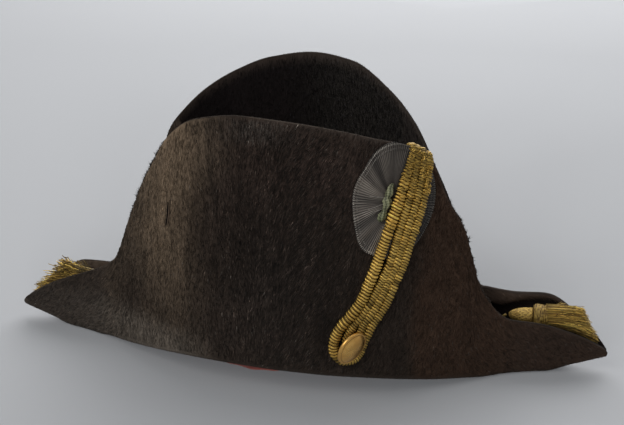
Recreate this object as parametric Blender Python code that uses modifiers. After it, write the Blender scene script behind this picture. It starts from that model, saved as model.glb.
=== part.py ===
"""Bicorne: black-brown plush felt hat with a low near fan and a tall far fan,
cockade, two bullion loops with a gilt button, and a tassel in each end.

Lengths in the tables are millimetres. +X is the front end, -Y the near side
(the wearer's right) with the cockade, +Z up. The hat stands on the undersides
of its two ends; the rim arches up between them.
"""
import bpy
import bmesh
import numpy as np
from math import pi, sin, cos, sqrt, tanh
from mathutils import Matrix, Vector

MM = 0.001

# ---------------------------------------------------------------- sizes
HALF_LENGTH = 225.0            # middle to tip
OPENING_A, OPENING_B = 98.0, 74.0   # half axes of the head opening
FELT = 2.2                     # felt thickness
LINING = 1.0                   # lining thickness
GAP = 0.35                     # between pieces that touch
CROWN_HEIGHT = 112.0           # above the opening
SHIFT_Y = 8.0                  # moves the middle of the outer box onto Y = 0

COCKADE = dict(x=73.5, z=137.7, half_x=24.7, half_z=37.0, lift=0.8, thick=1.6)
KNOT = dict(top=(71.7, 149.5), foot=(66.2, 125.5), half_width=1.8, half_thick=1.6, lift=4.4)

# Free edges of the two fans. Heights differ between rear (x < 0) and front.
#   from     ---- near fan ----------    ----- far fan ---------
#   middle   half    height   height     half    height  height
#            width   rear     front      width   rear    front
EDGE = [
    (0.0,    56.0,   186.5,   186.5,     47.0,   214.5,  214.5),
    (30.0,   55.5,   188.5,   183.0,     46.5,   210.0,  209.5),
    (60.0,   53.0,   184.0,   177.5,     45.0,   198.0,  188.0),
    (80.0,   46.0,   170.0,   172.5,     39.5,   185.5,  165.5),
    (95.0,   37.0,   150.0,   162.5,     32.5,   171.0,  137.5),
    (108.0,  31.0,   128.5,   133.0,     28.5,   153.0,  111.0),
    (120.0,  27.0,   102.5,   112.0,     26.5,   101.0,   78.0),
    (135.0,  24.5,    68.0,    65.5,     25.0,    56.0,   49.0),
    (155.0,  21.5,    55.0,    44.0,     21.5,    45.0,   47.5),
    (180.0,  18.0,    44.5,    40.5,     18.0,    46.0,   49.5),
    (205.0,  11.0,    31.0,    30.5,     11.5,    30.0,   37.0),
    (225.0,   4.0,    17.0,    18.0,      4.0,    16.5,   16.5),
]
# Underside, the same on both sides. It is flat on the table at 155 to 182.
#   from     half    height   height   radius
#   middle   width   rear     front    of fold
FLOOR = [
    (0.0,    81.0,   18.5,    18.5,    4.5),
    (30.0,   79.0,   19.0,    17.0,    4.5),
    (60.0,   74.0,   18.5,    15.5,    4.5),
    (75.0,   69.0,   17.0,    13.5,    4.8),
    (90.0,   61.5,   14.0,    10.5,    5.0),
    (108.0,  51.0,   10.0,     6.5,    5.4),
    (124.0,  41.0,    6.5,     3.5,    5.6),
    (145.0,  26.5,    2.0,     0.0,    5.6),
    (155.0,  21.0,    0.0,     0.0,    5.4),
    (182.0,  12.0,    0.0,     0.0,    5.0),
    (200.0,   7.5,    4.5,     5.0,    4.2),
    (225.0,   3.8,   12.0,    13.0,    3.0),
]
# Crown: height above the opening as a part of CROWN_HEIGHT, width as a part of the opening.
#   height  width
CROWN = [
    (0.00,  1.000), (0.20, 0.990), (0.42, 0.965), (0.60, 0.930), (0.74, 0.875),
    (0.86, 0.775), (0.94, 0.610), (0.985, 0.370), (0.997, 0.180),
]
# Bullion strands on the near fan, from the fan's edge down to the button.
#   height   x of the four strands, rear to front
STRANDS = [
    (174.0,  84.0, 86.9, 89.7, 92.4),
    (164.0,  82.3, 85.9, 89.5, 93.1),
    (154.0,  79.8, 84.6, 88.8, 93.0),
    (142.0,  76.8, 82.5, 87.0, 91.5),
    (130.0,  73.4, 79.9, 84.5, 89.2),
    (119.0,  70.4, 77.4, 81.8, 86.3),
    (108.0,  67.4, 75.2, 79.4, 83.6),
    (96.0,   64.2, 72.2, 76.5, 80.8),
    (84.0,   60.6, 67.9, 72.3, 77.0),
    (74.0,   57.0, 63.7, 68.4, 73.7),
    (65.0,   51.6, 58.8, 63.9, 69.3),
    (56.0,   44.8, 52.7, 58.5, 63.9),
]
STRAND_R = (1.1, 3.3, 1.85)        # at the fan's edge, rear strand, other strands
STRAND_R_INSIDE = 1.1              # where the ends are sewn down inside the fan


# ---------------------------------------------------------------- curves through the tables
def slopes(xs, ys):
    """slopes of a smooth curve through the points that never overshoots them"""
    h = np.diff(xs)
    d = np.diff(ys) / h
    m = np.zeros_like(ys)
    for i in range(1, len(xs) - 1):
        if d[i - 1] * d[i] > 0:
            a, b = 2 * h[i] + h[i - 1], h[i] + 2 * h[i - 1]
            m[i] = (a + b) / (a / d[i - 1] + b / d[i])
    m[0], m[-1] = d[0], d[-1]
    return m


def curve_at(xs, ys, x):
    xs, ys = np.asarray(xs, float), np.asarray(ys, float)
    m, h = slopes(xs, ys), np.diff(xs)
    x = np.asarray(x, float)
    i = np.clip(np.searchsorted(xs, x, side="right") - 1, 0, len(h) - 1)
    t = (x - xs[i]) / h[i]
    return ((1 + 2 * t) * (1 - t) ** 2 * ys[i] + t * (1 - t) ** 2 * h[i] * m[i]
            + t * t * (3 - 2 * t) * ys[i + 1] + t * t * (t - 1) * h[i] * m[i + 1])


def column(table, rear, front, x):
    """a table column looked up at x, rear column for x < 0 and front column for x > 0"""
    t = np.asarray(table)
    xs = np.concatenate([-t[::-1, 0][:-1], t[:, 0]])
    ys = np.concatenate([t[::-1, rear][:-1], t[:, front]])
    return curve_at(xs, ys, x)


def section(x, near):
    """edge half width, edge height, underside half width, underside height, fold radius at x"""
    if near:
        ye, ze = column(EDGE, 1, 1, x), column(EDGE, 2, 3, x)
    else:
        ye, ze = column(EDGE, 4, 4, x), column(EDGE, 5, 6, x)
    return ye, ze, column(FLOOR, 1, 1, x), column(FLOOR, 2, 3, x), column(FLOOR, 4, 4, x)


W_FLOOR, W_FOLD = 0.30, 0.45      # where the underside and its fold end, in w
LEAN = 1.6                        # how late the wall leans in to its edge


def felt(x, w):
    """outer face of the brim: w = -1 near free edge, 0 keel, +1 far free edge"""
    x, w = np.broadcast_arrays(np.asarray(x, float), np.asarray(w, float))
    out = np.zeros(x.shape + (3,))
    for near in (True, False):
        m = (w < 0) if near else (w >= 0)
        if not m.any():
            continue
        ye, ze, yb, zf, r = section(x[m], near)
        a = np.abs(w[m])
        f = np.clip(a / W_FLOOR, 0, 1)
        c = np.clip((a - W_FLOOR) / (W_FOLD - W_FLOOR), 0, 1) * pi / 2
        v = np.clip((a - W_FOLD) / (1 - W_FOLD), 0, 1)
        y = np.where(a < W_FLOOR, (yb - r) * f, yb - r + r * np.sin(c))
        z = np.where(a < W_FLOOR, zf, zf + r - r * np.cos(c))
        y = np.where(a > W_FOLD, yb + (ye - yb) * v ** LEAN, y)
        z = np.where(a > W_FOLD, zf + r + v * (ze - zf - r), z)
        out[m] = np.stack([x[m], -y if near else y, z], -1)
    return out


def near_wall(x, z, lift):
    """point at lift over the near fan's outer face, at length x and height z"""
    ye, ze, yb, zf, r = section(np.array([x]), True)
    v = min(max((z - (zf + r)[0]) / (ze - zf - r)[0], 0.0), 1.0)
    w = -(W_FOLD + (1 - W_FOLD) * v)
    p = felt(x, w)
    n = wall_normal(x, w)
    return Vector(p) + n * float(lift), n


def wall_normal(x, w):
    a = felt(x + 0.5, w) - felt(x - 0.5, w)
    b = felt(x, max(w - 0.004, -1.0)) - felt(x, min(w + 0.004, -W_FOLD))
    n = Vector(np.cross(a, b)).normalized()
    return -n if n.y > 0 else n


# ---------------------------------------------------------------- helpers
for old in list(bpy.data.objects):
    bpy.data.objects.remove(old, do_unlink=True)

hat = bpy.data.collections.new("bicorne")
bpy.context.scene.collection.children.link(hat)
frame = bpy.data.objects.new("bicorne_frame", None)
frame.location = (0.0, SHIFT_Y * MM, 0.0)
hat.objects.link(frame)


def material(name, colour, roughness, metallic=0.0):
    m = bpy.data.materials.new(name)
    m.use_nodes = True
    b = m.node_tree.nodes["Principled BSDF"]
    b.inputs["Base Color"].default_value = (*colour, 1.0)
    b.inputs["Roughness"].default_value = roughness
    b.inputs["Metallic"].default_value = metallic
    return m


PLUSH = material("plush_felt", (0.030, 0.024, 0.019), 0.85)
CROWN_FELT = material("crown_felt", (0.022, 0.019, 0.016), 0.9)
RED = material("red_lining", (0.32, 0.045, 0.02), 0.6)
RIBBON = material("black_ribbon", (0.055, 0.052, 0.050), 0.5)
GREEN = material("green_silk", (0.16, 0.19, 0.10), 0.5)
BULLION = material("gold_bullion", (0.55, 0.36, 0.10), 0.35, 0.9)
GILT = material("gilt_button", (0.78, 0.47, 0.16), 0.22, 1.0)
THREAD = material("gold_thread", (0.50, 0.34, 0.09), 0.5, 0.7)


def add(name, mesh, mat):
    ob = bpy.data.objects.new(name, mesh)
    hat.objects.link(ob)
    ob.parent = frame
    mesh.materials.clear()
    mesh.materials.append(mat)
    mesh.shade_smooth()
    return ob


def mesh_of(name, points, faces):
    me = bpy.data.meshes.new(name)
    me.from_pydata([tuple(c * MM for c in p) for p in points], [], faces)
    me.update()
    return me


def thicken(ob, thickness, offset):
    s = ob.modifiers.new("thickness", "SOLIDIFY")
    s.thickness = thickness * MM
    s.offset = offset
    s.use_even_offset = True
    s.use_quality_normals = True
    return s


# ---------------------------------------------------------------- brim
def rib_ends():
    """(x, w) on the free edge for each rib, once round, near side first"""
    fine = np.linspace(-222.0, 222.0, 2000)
    weight = 1.0 + 1.3 * np.exp(-((np.abs(fine) - 125.0) / 24.0) ** 2)
    run = np.cumsum(weight)
    run = (run - run[0]) / (run[-1] - run[0])
    xs = np.interp(np.linspace(0, 1, 57), run, fine)
    near = [(x, -1.0) for x in xs]
    front = [(224.5, -0.8), (225.0, -0.6), (225.0, -0.45), (225.0, -0.28), (225.0, 0.0)]
    front += [(x, -w) for x, w in front[-2::-1]]
    far = [(x, 1.0) for x in xs[::-1]]
    rear = [(-x, -w) for x, w in front]
    return near + front + far + rear


def inner_end(x, w):
    """(x, w) on the head opening that belongs to a rib ending at (x, w) on the edge"""
    xi = OPENING_A * tanh(x / 95.0) / tanh(HALF_LENGTH / 95.0)
    xm = OPENING_A * tanh(222.0 / 95.0) / tanh(HALF_LENGTH / 95.0)
    if abs(xi) <= xm:
        yi = OPENING_B * sqrt(1 - (xi / OPENING_A) ** 2) * (1 if w > 0 else -1)
    else:
        yi = OPENING_B * sqrt(1 - (xm / OPENING_A) ** 2) * w
        xi = OPENING_A * sqrt(1 - (yi / OPENING_B) ** 2) * (1 if x > 0 else -1)
    _, _, yb, _, r = section(np.array([xi]), True)
    return xi, W_FLOOR * yi / (yb - r)[0]


def brim_mesh():
    ends = rib_ends()
    points, faces = [], []
    wall = np.linspace(0, 1, 9)[1:]
    for xo, wo in ends:
        xi, wi = inner_end(xo, wo)
        if abs(wo) > 0.9:
            s1 = (W_FLOOR - abs(wi)) / (abs(wo) - abs(wi))
            s2 = (W_FOLD - abs(wi)) / (abs(wo) - abs(wi))
        else:
            s1, s2 = W_FLOOR, W_FOLD
        steps = [0.0, s1 * 0.5, s1, s1 + (s2 - s1) / 3, s1 + (s2 - s1) * 2 / 3, s2]
        steps += [s2 + (1 - s2) * k for k in wall]
        for s in steps:
            points.append(felt(xi + (xo - xi) * s, wi + (wo - wi) * s))
    m, n = len(steps), len(ends)
    for i in range(n):
        j = (i + 1) % n
        for k in range(m - 1):
            faces.append((i * m + k, i * m + k + 1, j * m + k + 1, j * m + k))
    return mesh_of("brim", points, faces)


brim = add("brim", brim_mesh(), PLUSH)
bm = bmesh.new()
bm.from_mesh(brim.data)
bmesh.ops.recalc_face_normals(bm, faces=bm.faces)
low = min(bm.faces, key=lambda f: f.calc_center_median().z)
if low.normal.z > 0:
    bmesh.ops.reverse_faces(bm, faces=bm.faces)
bm.to_mesh(brim.data)
bm.free()
thicken(brim, FELT, -1.0)


# ---------------------------------------------------------------- crown and lining
def dome(name, inset, foot, sag=None, rows=CROWN, around=48, top=CROWN_HEIGHT):
    """oval dome over the head opening, its rim following the arch of the underside"""
    points, faces = [], []
    for k, (h, width) in enumerate(rows):
        for i in range(around):
            t = 2 * pi * i / around
            x = (OPENING_A - inset) * cos(t) * width
            y = (OPENING_B - inset) * sin(t) * width
            rim = float(column(FLOOR, 2, 3, (OPENING_A - inset) * cos(t))) + foot
            if sag is not None:
                rim -= sag(t)
            z = rim + (top + FLOOR[0][2] - rim) * h
            points.append((x, y, z))
    points.append((0, 0, FLOOR[0][2] + top))
    for k in range(len(rows) - 1):
        for i in range(around):
            j = (i + 1) % around
            faces.append((k * around + i, k * around + j, (k + 1) * around + j, (k + 1) * around + i))
    last = (len(rows) - 1) * around
    for i in range(around):
        faces.append((last + i, last + (i + 1) % around, len(points) - 1))
    return mesh_of(name, points, faces)


crown = add("crown", dome("crown", GAP, 0.0), CROWN_FELT)
thicken(crown, FELT, -1.0)


def droop(t):
    """the lining hangs below the rim on the near side, behind the middle"""
    a = (t - (pi * 1.5 - 0.22)) / 0.22
    return 6.0 * max(0.0, 1 - a * a) ** 0.8 if abs(a) < 1 else 0.0


lining = add("lining", dome("lining", GAP + FELT + GAP, 0.3, droop, CROWN, 48,
                            CROWN_HEIGHT - FELT - GAP), RED)
thicken(lining, LINING, -1.0)


# ---------------------------------------------------------------- cockade and its knot
def cockade_mesh(rings=5, around=40):
    c = COCKADE
    points = [near_wall(c["x"], c["z"], c["lift"])[0]]
    for k in range(1, rings + 1):
        for i in range(around):
            t = 2 * pi * i / around
            points.append(near_wall(c["x"] + c["half_x"] * cos(t) * k / rings,
                                    c["z"] + c["half_z"] * sin(t) * k / rings, c["lift"])[0])
    faces = [(0, 1 + i, 1 + (i + 1) % around) for i in range(around)]
    for k in range(rings - 1):
        for i in range(around):
            j = (i + 1) % around
            a, b = 1 + k * around, 1 + (k + 1) * around
            faces.append((a + i, b + i, b + j, a + j))
    return mesh_of("cockade", points, faces)


cockade = add("cockade", cockade_mesh(), RIBBON)
if cockade.data.polygons[0].normal.y > 0:
    cockade.data.flip_normals()
thicken(cockade, COCKADE["thick"], 1.0)

knot_top, n1 = near_wall(*KNOT["top"], KNOT["lift"])
knot_foot, n2 = near_wall(*KNOT["foot"], KNOT["lift"])
bm = bmesh.new()
bmesh.ops.create_uvsphere(bm, u_segments=16, v_segments=12, radius=1.0)
axis = (knot_top - knot_foot)
out = (n1 + n2).normalized()
side = axis.cross(out).normalized()
out = side.cross(axis).normalized()
basis = Matrix((side * KNOT["half_width"], out * KNOT["half_thick"], axis * 0.5)).transposed().to_4x4()
bmesh.ops.transform(bm, matrix=Matrix.Scale(MM, 4) @ Matrix.Translation((knot_top + knot_foot) / 2) @ basis,
                    verts=bm.verts)
bmesh.ops.recalc_face_normals(bm, faces=bm.faces)
knot_mesh = bpy.data.meshes.new("cockade_centre")
bm.to_mesh(knot_mesh)
bm.free()
add("cockade_centre", knot_mesh, GREEN)


# ---------------------------------------------------------------- bullion loops
def strand_x(k, z):
    rows = STRANDS[::-1]
    return float(curve_at([r[0] for r in rows], [r[1 + k] for r in rows], z))


def strand_run(k, radius, steps=18):
    """points and radii of strand k, from inside the fan, over its edge and down to the last row"""
    run = []
    r0 = STRAND_R[0]
    up = Vector((0.0, 0.0, 1.0))
    ze = STRANDS[0][0]
    for _ in range(6):
        x = strand_x(k, ze)
        ze = min(float(section(np.array([x]), True)[1][0]), STRANDS[0][0])
    rim, n = near_wall(x, ze, 0.0)
    flat = Vector((n.x, n.y, 0.0)).normalized()
    ri = STRAND_R_INSIDE
    run.append((rim - flat * (FELT + ri + 1.0) - up * 13.0, ri))
    run.append((rim - flat * (FELT + ri + 0.8) - up * 6.0, ri))
    run.append((rim - flat * (FELT + ri + 0.6) + up * 0.2, ri))
    run.append((rim - flat * 2.6 + up * (r0 + 0.8), r0))
    run.append((rim + flat * 2.0 + up * (r0 + 1.0), r0))
    run.append((rim + flat * (r0 + 2.8) + up * 0.3, r0))
    low, first = STRANDS[-1][0], ze - 4.0
    for z in np.linspace(first, low, steps):
        r = r0 + (radius - r0) * min(1.0, max(0.0, (first - z) / 34.0))
        over = min(1.0, max(0.0, (z - 84.0) / 12.0))       # above the cockade's foot
        lift = r + 0.55 + over * (COCKADE["lift"] + COCKADE["thick"])
        run.append((near_wall(strand_x(k, z), z, lift)[0], r))
    return run


def tube(name, run, mat):
    cu = bpy.data.curves.new(name, "CURVE")
    cu.dimensions = "3D"
    cu.bevel_depth = MM
    cu.bevel_resolution = 2
    cu.use_fill_caps = True
    sp = cu.splines.new("POLY")
    sp.points.add(len(run) - 1)
    for p, (co, r) in zip(sp.points, run):
        p.co = (*(co * MM), 1.0)
        p.radius = r
    ob = bpy.data.objects.new(name, cu)
    hat.objects.link(ob)
    ob.parent = frame
    cu.materials.append(mat)
    return ob


def turn(rows):
    """points of a strand's turn round the button's shank: x, height, lift, radius"""
    return [(near_wall(x, z, lift)[0], r) for x, z, lift, r in rows]


#             x      height  lift   radius
OUTER_TURN = [
    (42.0,   51.0,   3.5,   2.95),
    (40.3,   46.0,   3.5,   2.95),
    (39.9,   40.3,   3.5,   2.9),
    (41.6,   35.0,   3.3,   2.7),
    (45.4,   31.2,   2.7,   2.1),
    (50.0,   29.8,   2.0,   1.45),
    (54.6,   31.2,   1.7,   1.15),
    (57.8,   35.0,   1.6,   1.1),
    (59.4,   40.0,   1.8,   1.25),
    (60.3,   45.0,   2.3,   1.7),
    (61.8,   50.5,   2.7,   2.1),
]
INNER_TURN = [
    (49.6,   51.4,   2.6,   1.95),
    (47.6,   47.2,   2.4,   1.75),
    (47.2,   43.4,   2.2,   1.6),
    (48.6,   40.4,   2.1,   1.5),
    (51.2,   39.2,   2.1,   1.5),
    (53.8,   40.6,   2.1,   1.5),
    (55.1,   44.0,   2.2,   1.6),
    (56.0,   48.0,   2.4,   1.8),
    (57.0,   52.0,   2.6,   2.0),
]
r1, r2 = STRAND_R[1], STRAND_R[2]
tube("outer_loop", strand_run(0, r1) + turn(OUTER_TURN) + strand_run(3, r2)[::-1], BULLION)
tube("inner_loop", strand_run(1, r2) + turn(INNER_TURN) + strand_run(2, r2)[::-1], BULLION)

# ---------------------------------------------------------------- button
BUTTON_SPOT = (50.8, 45.2)          # length and height on the fan under its shank
BUTTON_LIFT = 12.6
BUTTON_FACE = Vector((0.776, -0.580, -0.249)).normalized()
#          along the axis, radius
BUTTON = [(4.3, 0.0), (4.05, 4.0), (3.3, 7.5), (2.0, 10.2), (0.9, 11.6), (0.1, 12.0), (-0.5, 11.7), (-0.8, 10.6), (-0.8, 0.0)]
spot, spot_n = near_wall(*BUTTON_SPOT, 0.0)
centre = spot + spot_n * BUTTON_LIFT


def turned(name, profile, at, axis, mat, steps):
    """a profile of (distance along the axis, radius), far end first, turned about the axis"""
    me = bpy.data.meshes.new(name)
    me.from_pydata([(r * MM, 0.0, a * MM) for a, r in profile], [(i, i + 1) for i in range(len(profile) - 1)], [])
    ob = add(name, me, mat)
    ob.location = at * MM
    ob.rotation_euler = axis.to_track_quat("Z", "Y").to_euler()
    screw = ob.modifiers.new("turned", "SCREW")
    screw.axis = "Z"
    screw.angle = 2 * pi
    screw.steps = screw.render_steps = steps
    screw.use_merge_vertices = True
    screw.merge_threshold = 0.00005
    screw.use_smooth_shade = True
    return ob


button = turned("button", BUTTON, centre, BUTTON_FACE, GILT, 36)

cutters = bpy.data.collections.new("guides")
bpy.context.scene.collection.children.link(cutters)
bm = bmesh.new()
foot = spot + spot_n * 0.5
head = centre + BUTTON_FACE * 1.2
bm = bmesh.new()
bmesh.ops.create_cone(bm, cap_ends=True, segments=12, radius1=1.3 * MM, radius2=1.3 * MM, depth=(head - foot).length * MM)
shank_mesh = bpy.data.meshes.new("shank_guide")
bm.to_mesh(shank_mesh)
bm.free()
shank = bpy.data.objects.new("shank_guide", shank_mesh)
cutters.objects.link(shank)
shank.parent = frame
shank.location = (head + foot) / 2 * MM
shank.rotation_euler = (head - foot).to_track_quat("Z", "Y").to_euler()
shank.hide_render = True
shank.display_type = "WIRE"
join = button.modifiers.new("soldered_shank", "BOOLEAN")
join.operation = "UNION"
join.object = shank


# ---------------------------------------------------------------- tassels
#        along the axis from the head's tip, radius
HEAD = [(17.0, 0.0), (17.0, 6.2), (16.2, 6.7), (13.0, 6.5), (9.0, 5.8), (5.0, 4.6), (2.0, 3.0), (0.6, 1.6), (0.0, 0.0)]
COLLAR = [(27.5, 0.0), (27.5, 7.9), (26.6, 8.6), (25.4, 8.7), (24.5, 8.1), (23.6, 8.7), (20.8, 9.0), (18.4, 8.7),
          (17.4, 7.4), (17.4, 0.0)]
CORD_R = 1.3
SKIRT_START, SKIRT_R = 27.8, 8.4
#         tip of head, end of collar and middle of the cut end; half width and half height
#         of the cut end, its slant, and the sagging cord from the crown to the tip of the head
TASSELS = {
    "front": dict(tip=(154.5, 4.0, 37.7), waist=(182.0, 3.0, 38.8), end=(212.3, 1.2, 34.5),
                  half_y=4.4, half_z=10.3, slant=1.03,
                  cord=[(99.5, -8.0, 27.0), (112.0, -9.0, 21.5), (126.0, -8.5, 20.0), (138.0, -5.5, 24.0),
                        (147.0, -0.5, 31.5), (152.8, 3.4, 37.0)]),
    "rear": dict(tip=(-142.5, 2.5, 32.5), waist=(-170.0, 2.0, 36.5), end=(-203.3, 0.4, 36.7),
                 half_y=5.4, half_z=12.2, slant=1.40,
                 cord=[(-99.5, -8.0, 27.0), (-108.0, -9.0, 20.5), (-118.0, -8.5, 18.0), (-128.0, -5.5, 20.0),
                       (-136.0, -1.0, 26.0), (-141.0, 1.9, 31.3)]),
}


def skirt_mesh(name, spec, around=20, rings=7):
    """fringe: round where it leaves the collar, a flat drooping spray with a slanted end further out"""
    tip, waist, end = (Vector(spec[k]) for k in ("tip", "waist", "end"))
    axis = (waist - tip).normalized()
    start = tip + axis * SKIRT_START
    run = (end - start).length
    points, faces = [], []
    for k in range(rings):
        t = k / (rings - 1)
        bend = start + axis * run * 0.5
        c = start * (1 - t) ** 2 + bend * 2 * t * (1 - t) + end * t * t
        d = (axis * (1 - t) + (end - bend).normalized() * t).normalized()
        up = (Vector((0, 0, 1)) - d * d.z).normalized()
        side = up.cross(d)
        hy = SKIRT_R + (spec["half_y"] - SKIRT_R) * t
        hz = SKIRT_R + (spec["half_z"] - SKIRT_R) * t ** 1.1
        for i in range(around):
            p = 2 * pi * i / around
            u, v = hy * cos(p), hz * sin(p)
            points.append(c + side * u + up * v - d * (v * spec["slant"] * t ** 1.5))
    for k in range(rings - 1):
        for i in range(around):
            j = (i + 1) % around
            faces.append((k * around + i, k * around + j, (k + 1) * around + j, (k + 1) * around + i))
    faces.append(tuple(reversed(range(around))))
    faces.append(tuple((rings - 1) * around + i for i in range(around)))
    return mesh_of(name, points, faces)


def smooth_route(points, per_step):
    """a smooth curve through the points, per_step points to each stretch"""
    a = np.array([tuple(p) for p in points])
    run = np.concatenate([[0.0], np.cumsum(np.linalg.norm(np.diff(a, axis=0), axis=1))])
    s = np.interp(np.arange((len(a) - 1) * per_step + 1) / per_step, np.arange(len(a)), run)
    m = np.gradient(a, run, axis=0)
    i = np.clip(np.searchsorted(run, s, side="right") - 1, 0, len(run) - 2)
    h = (run[i + 1] - run[i])[:, None]
    t = (s - run[i])[:, None] / h
    out = ((1 + 2 * t) * (1 - t) ** 2 * a[i] + t * (1 - t) ** 2 * h * m[i]
           + t * t * (3 - 2 * t) * a[i + 1] + t * t * (t - 1) * h * m[i + 1])
    return [Vector(p) for p in out]


for end_name, spec in TASSELS.items():
    tip, waist = Vector(spec["tip"]), Vector(spec["waist"])
    axis = (waist - tip).normalized()
    turned("tassel_head_" + end_name, HEAD, tip, axis, THREAD, 18)
    turned("tassel_collar_" + end_name, COLLAR, tip, axis, THREAD, 18)
    skirt = add("tassel_fringe_" + end_name, skirt_mesh("tassel_fringe_" + end_name, spec), THREAD)
    bm = bmesh.new()
    bm.from_mesh(skirt.data)
    bmesh.ops.recalc_face_normals(bm, faces=bm.faces)
    bm.to_mesh(skirt.data)
    bm.free()
    # the cord keeps clear of the crown and of the head
    route = smooth_route([Vector(p) for p in spec["cord"]], 5)
    tube("tassel_cord_" + end_name, [(p, CORD_R) for p in route], THREAD)
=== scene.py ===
"""Looks of the bicorne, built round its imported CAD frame.

The shape functions and their tables are the same as in the part's own source:
lengths in millimetres, +X the front end, -Y the near side with the cockade, +Z up.
Everything here is shaped from them, so each piece lies on the felt that carries it.
"""

from math import atan2, cos, pi, radians, sin, sqrt, tanh

import bmesh
import bpy
import numpy as np
from mathutils import Matrix, Vector


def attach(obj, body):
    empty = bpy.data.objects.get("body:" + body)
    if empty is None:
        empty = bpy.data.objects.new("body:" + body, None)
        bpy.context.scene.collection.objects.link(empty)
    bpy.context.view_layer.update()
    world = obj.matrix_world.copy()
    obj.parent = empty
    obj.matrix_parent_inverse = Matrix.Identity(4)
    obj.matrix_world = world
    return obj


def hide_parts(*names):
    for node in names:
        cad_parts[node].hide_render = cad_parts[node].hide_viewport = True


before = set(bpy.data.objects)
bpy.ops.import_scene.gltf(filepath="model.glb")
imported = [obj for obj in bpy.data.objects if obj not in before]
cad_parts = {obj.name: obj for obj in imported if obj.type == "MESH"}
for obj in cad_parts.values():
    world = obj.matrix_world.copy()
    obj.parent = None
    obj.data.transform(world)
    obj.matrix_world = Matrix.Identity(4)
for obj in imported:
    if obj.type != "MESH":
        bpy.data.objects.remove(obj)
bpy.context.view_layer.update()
MM = 0.001
SHIFT_Y = 8.0

# ---------------------------------------------------------------- sizes
HALF_LENGTH = 225.0
OPENING_A, OPENING_B = 98.0, 74.0
FELT = 2.2
LINING = 1.0
GAP = 0.35
CROWN_HEIGHT = 112.0
W_FLOOR, W_FOLD = 0.30, 0.45
LEAN = 1.6

#   from     ---- near fan ----------    ----- far fan ---------
#   middle   half    height   height     half    height  height
#            width   rear     front      width   rear    front
EDGE = [
    (0.0,    56.0,   186.5,   186.5,     47.0,   214.5,  214.5),
    (30.0,   55.5,   188.5,   183.0,     46.5,   210.0,  209.5),
    (60.0,   53.0,   184.0,   177.5,     45.0,   198.0,  188.0),
    (80.0,   46.0,   170.0,   172.5,     39.5,   185.5,  165.5),
    (95.0,   37.0,   150.0,   162.5,     32.5,   171.0,  137.5),
    (108.0,  31.0,   128.5,   133.0,     28.5,   153.0,  111.0),
    (120.0,  27.0,   102.5,   112.0,     26.5,   101.0,   78.0),
    (135.0,  24.5,    68.0,    65.5,     25.0,    56.0,   49.0),
    (155.0,  21.5,    55.0,    44.0,     21.5,    45.0,   47.5),
    (180.0,  18.0,    44.5,    40.5,     18.0,    46.0,   49.5),
    (205.0,  11.0,    31.0,    30.5,     11.5,    30.0,   37.0),
    (225.0,   4.0,    17.0,    18.0,      4.0,    16.5,   16.5),
]
#   from     half    height   height   radius
#   middle   width   rear     front    of fold
FLOOR = [
    (0.0,    81.0,   18.5,    18.5,    4.5),
    (30.0,   79.0,   19.0,    17.0,    4.5),
    (60.0,   74.0,   18.5,    15.5,    4.5),
    (75.0,   69.0,   17.0,    13.5,    4.8),
    (90.0,   61.5,   14.0,    10.5,    5.0),
    (108.0,  51.0,   10.0,     6.5,    5.4),
    (124.0,  41.0,    6.5,     3.5,    5.6),
    (145.0,  26.5,    2.0,     0.0,    5.6),
    (155.0,  21.0,    0.0,     0.0,    5.4),
    (182.0,  12.0,    0.0,     0.0,    5.0),
    (200.0,   7.5,    4.5,     5.0,    4.2),
    (225.0,   3.8,   12.0,    13.0,    3.0),
]
#   height  width
CROWN = [
    (0.00,  1.000), (0.20, 0.990), (0.42, 0.965), (0.60, 0.930), (0.74, 0.875),
    (0.86, 0.775), (0.94, 0.610), (0.985, 0.370), (0.997, 0.180),
]
#   height   x of the four strands, rear to front
STRANDS = [
    (174.0,  84.0, 86.9, 89.7, 92.4),
    (164.0,  82.3, 85.9, 89.5, 93.1),
    (154.0,  79.8, 84.6, 88.8, 93.0),
    (142.0,  76.8, 82.5, 87.0, 91.5),
    (130.0,  73.4, 79.9, 84.5, 89.2),
    (119.0,  70.4, 77.4, 81.8, 86.3),
    (108.0,  67.4, 75.2, 79.4, 83.6),
    (96.0,   64.2, 72.2, 76.5, 80.8),
    (84.0,   60.6, 67.9, 72.3, 77.0),
    (74.0,   57.0, 63.7, 68.4, 73.7),
    (65.0,   51.6, 58.8, 63.9, 69.3),
    (56.0,   44.8, 52.7, 58.5, 63.9),
]
# half width and half thickness: at the fan's edge, rear strand, other strands
STRAND_EDGE, STRAND_REAR, STRAND_OTHER = (2.3, 1.05), (3.35, 2.75), (2.5, 1.85)
#             x      height  lift   radius
OUTER_TURN = [
    (42.0,   51.0,   3.5,   2.95),
    (40.3,   46.0,   3.5,   2.95),
    (39.9,   40.3,   3.5,   2.9),
    (41.6,   35.0,   3.3,   2.7),
    (45.4,   31.2,   2.7,   2.1),
    (50.0,   29.8,   2.0,   1.45),
    (54.6,   31.2,   1.7,   1.15),
    (57.8,   35.0,   1.6,   1.1),
    (59.4,   40.0,   1.8,   1.25),
    (60.3,   45.0,   2.3,   1.7),
    (61.8,   50.5,   2.7,   2.1),
]
INNER_TURN = [
    (49.6,   51.4,   2.6,   1.95),
    (47.6,   47.2,   2.4,   1.75),
    (47.2,   43.4,   2.2,   1.6),
    (48.6,   40.4,   2.1,   1.5),
    (51.2,   39.2,   2.1,   1.5),
    (53.8,   40.6,   2.1,   1.5),
    (55.1,   44.0,   2.2,   1.6),
    (56.0,   48.0,   2.4,   1.8),
    (57.0,   52.0,   2.6,   2.0),
]
COCKADE = dict(x=73.5, z=137.7, half_x=24.7, half_z=37.0, lift=0.8, thick=1.6)
KNOT = dict(top=(71.7, 149.5), foot=(66.2, 125.5), half_width=1.8, half_thick=1.6, lift=4.4)
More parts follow.
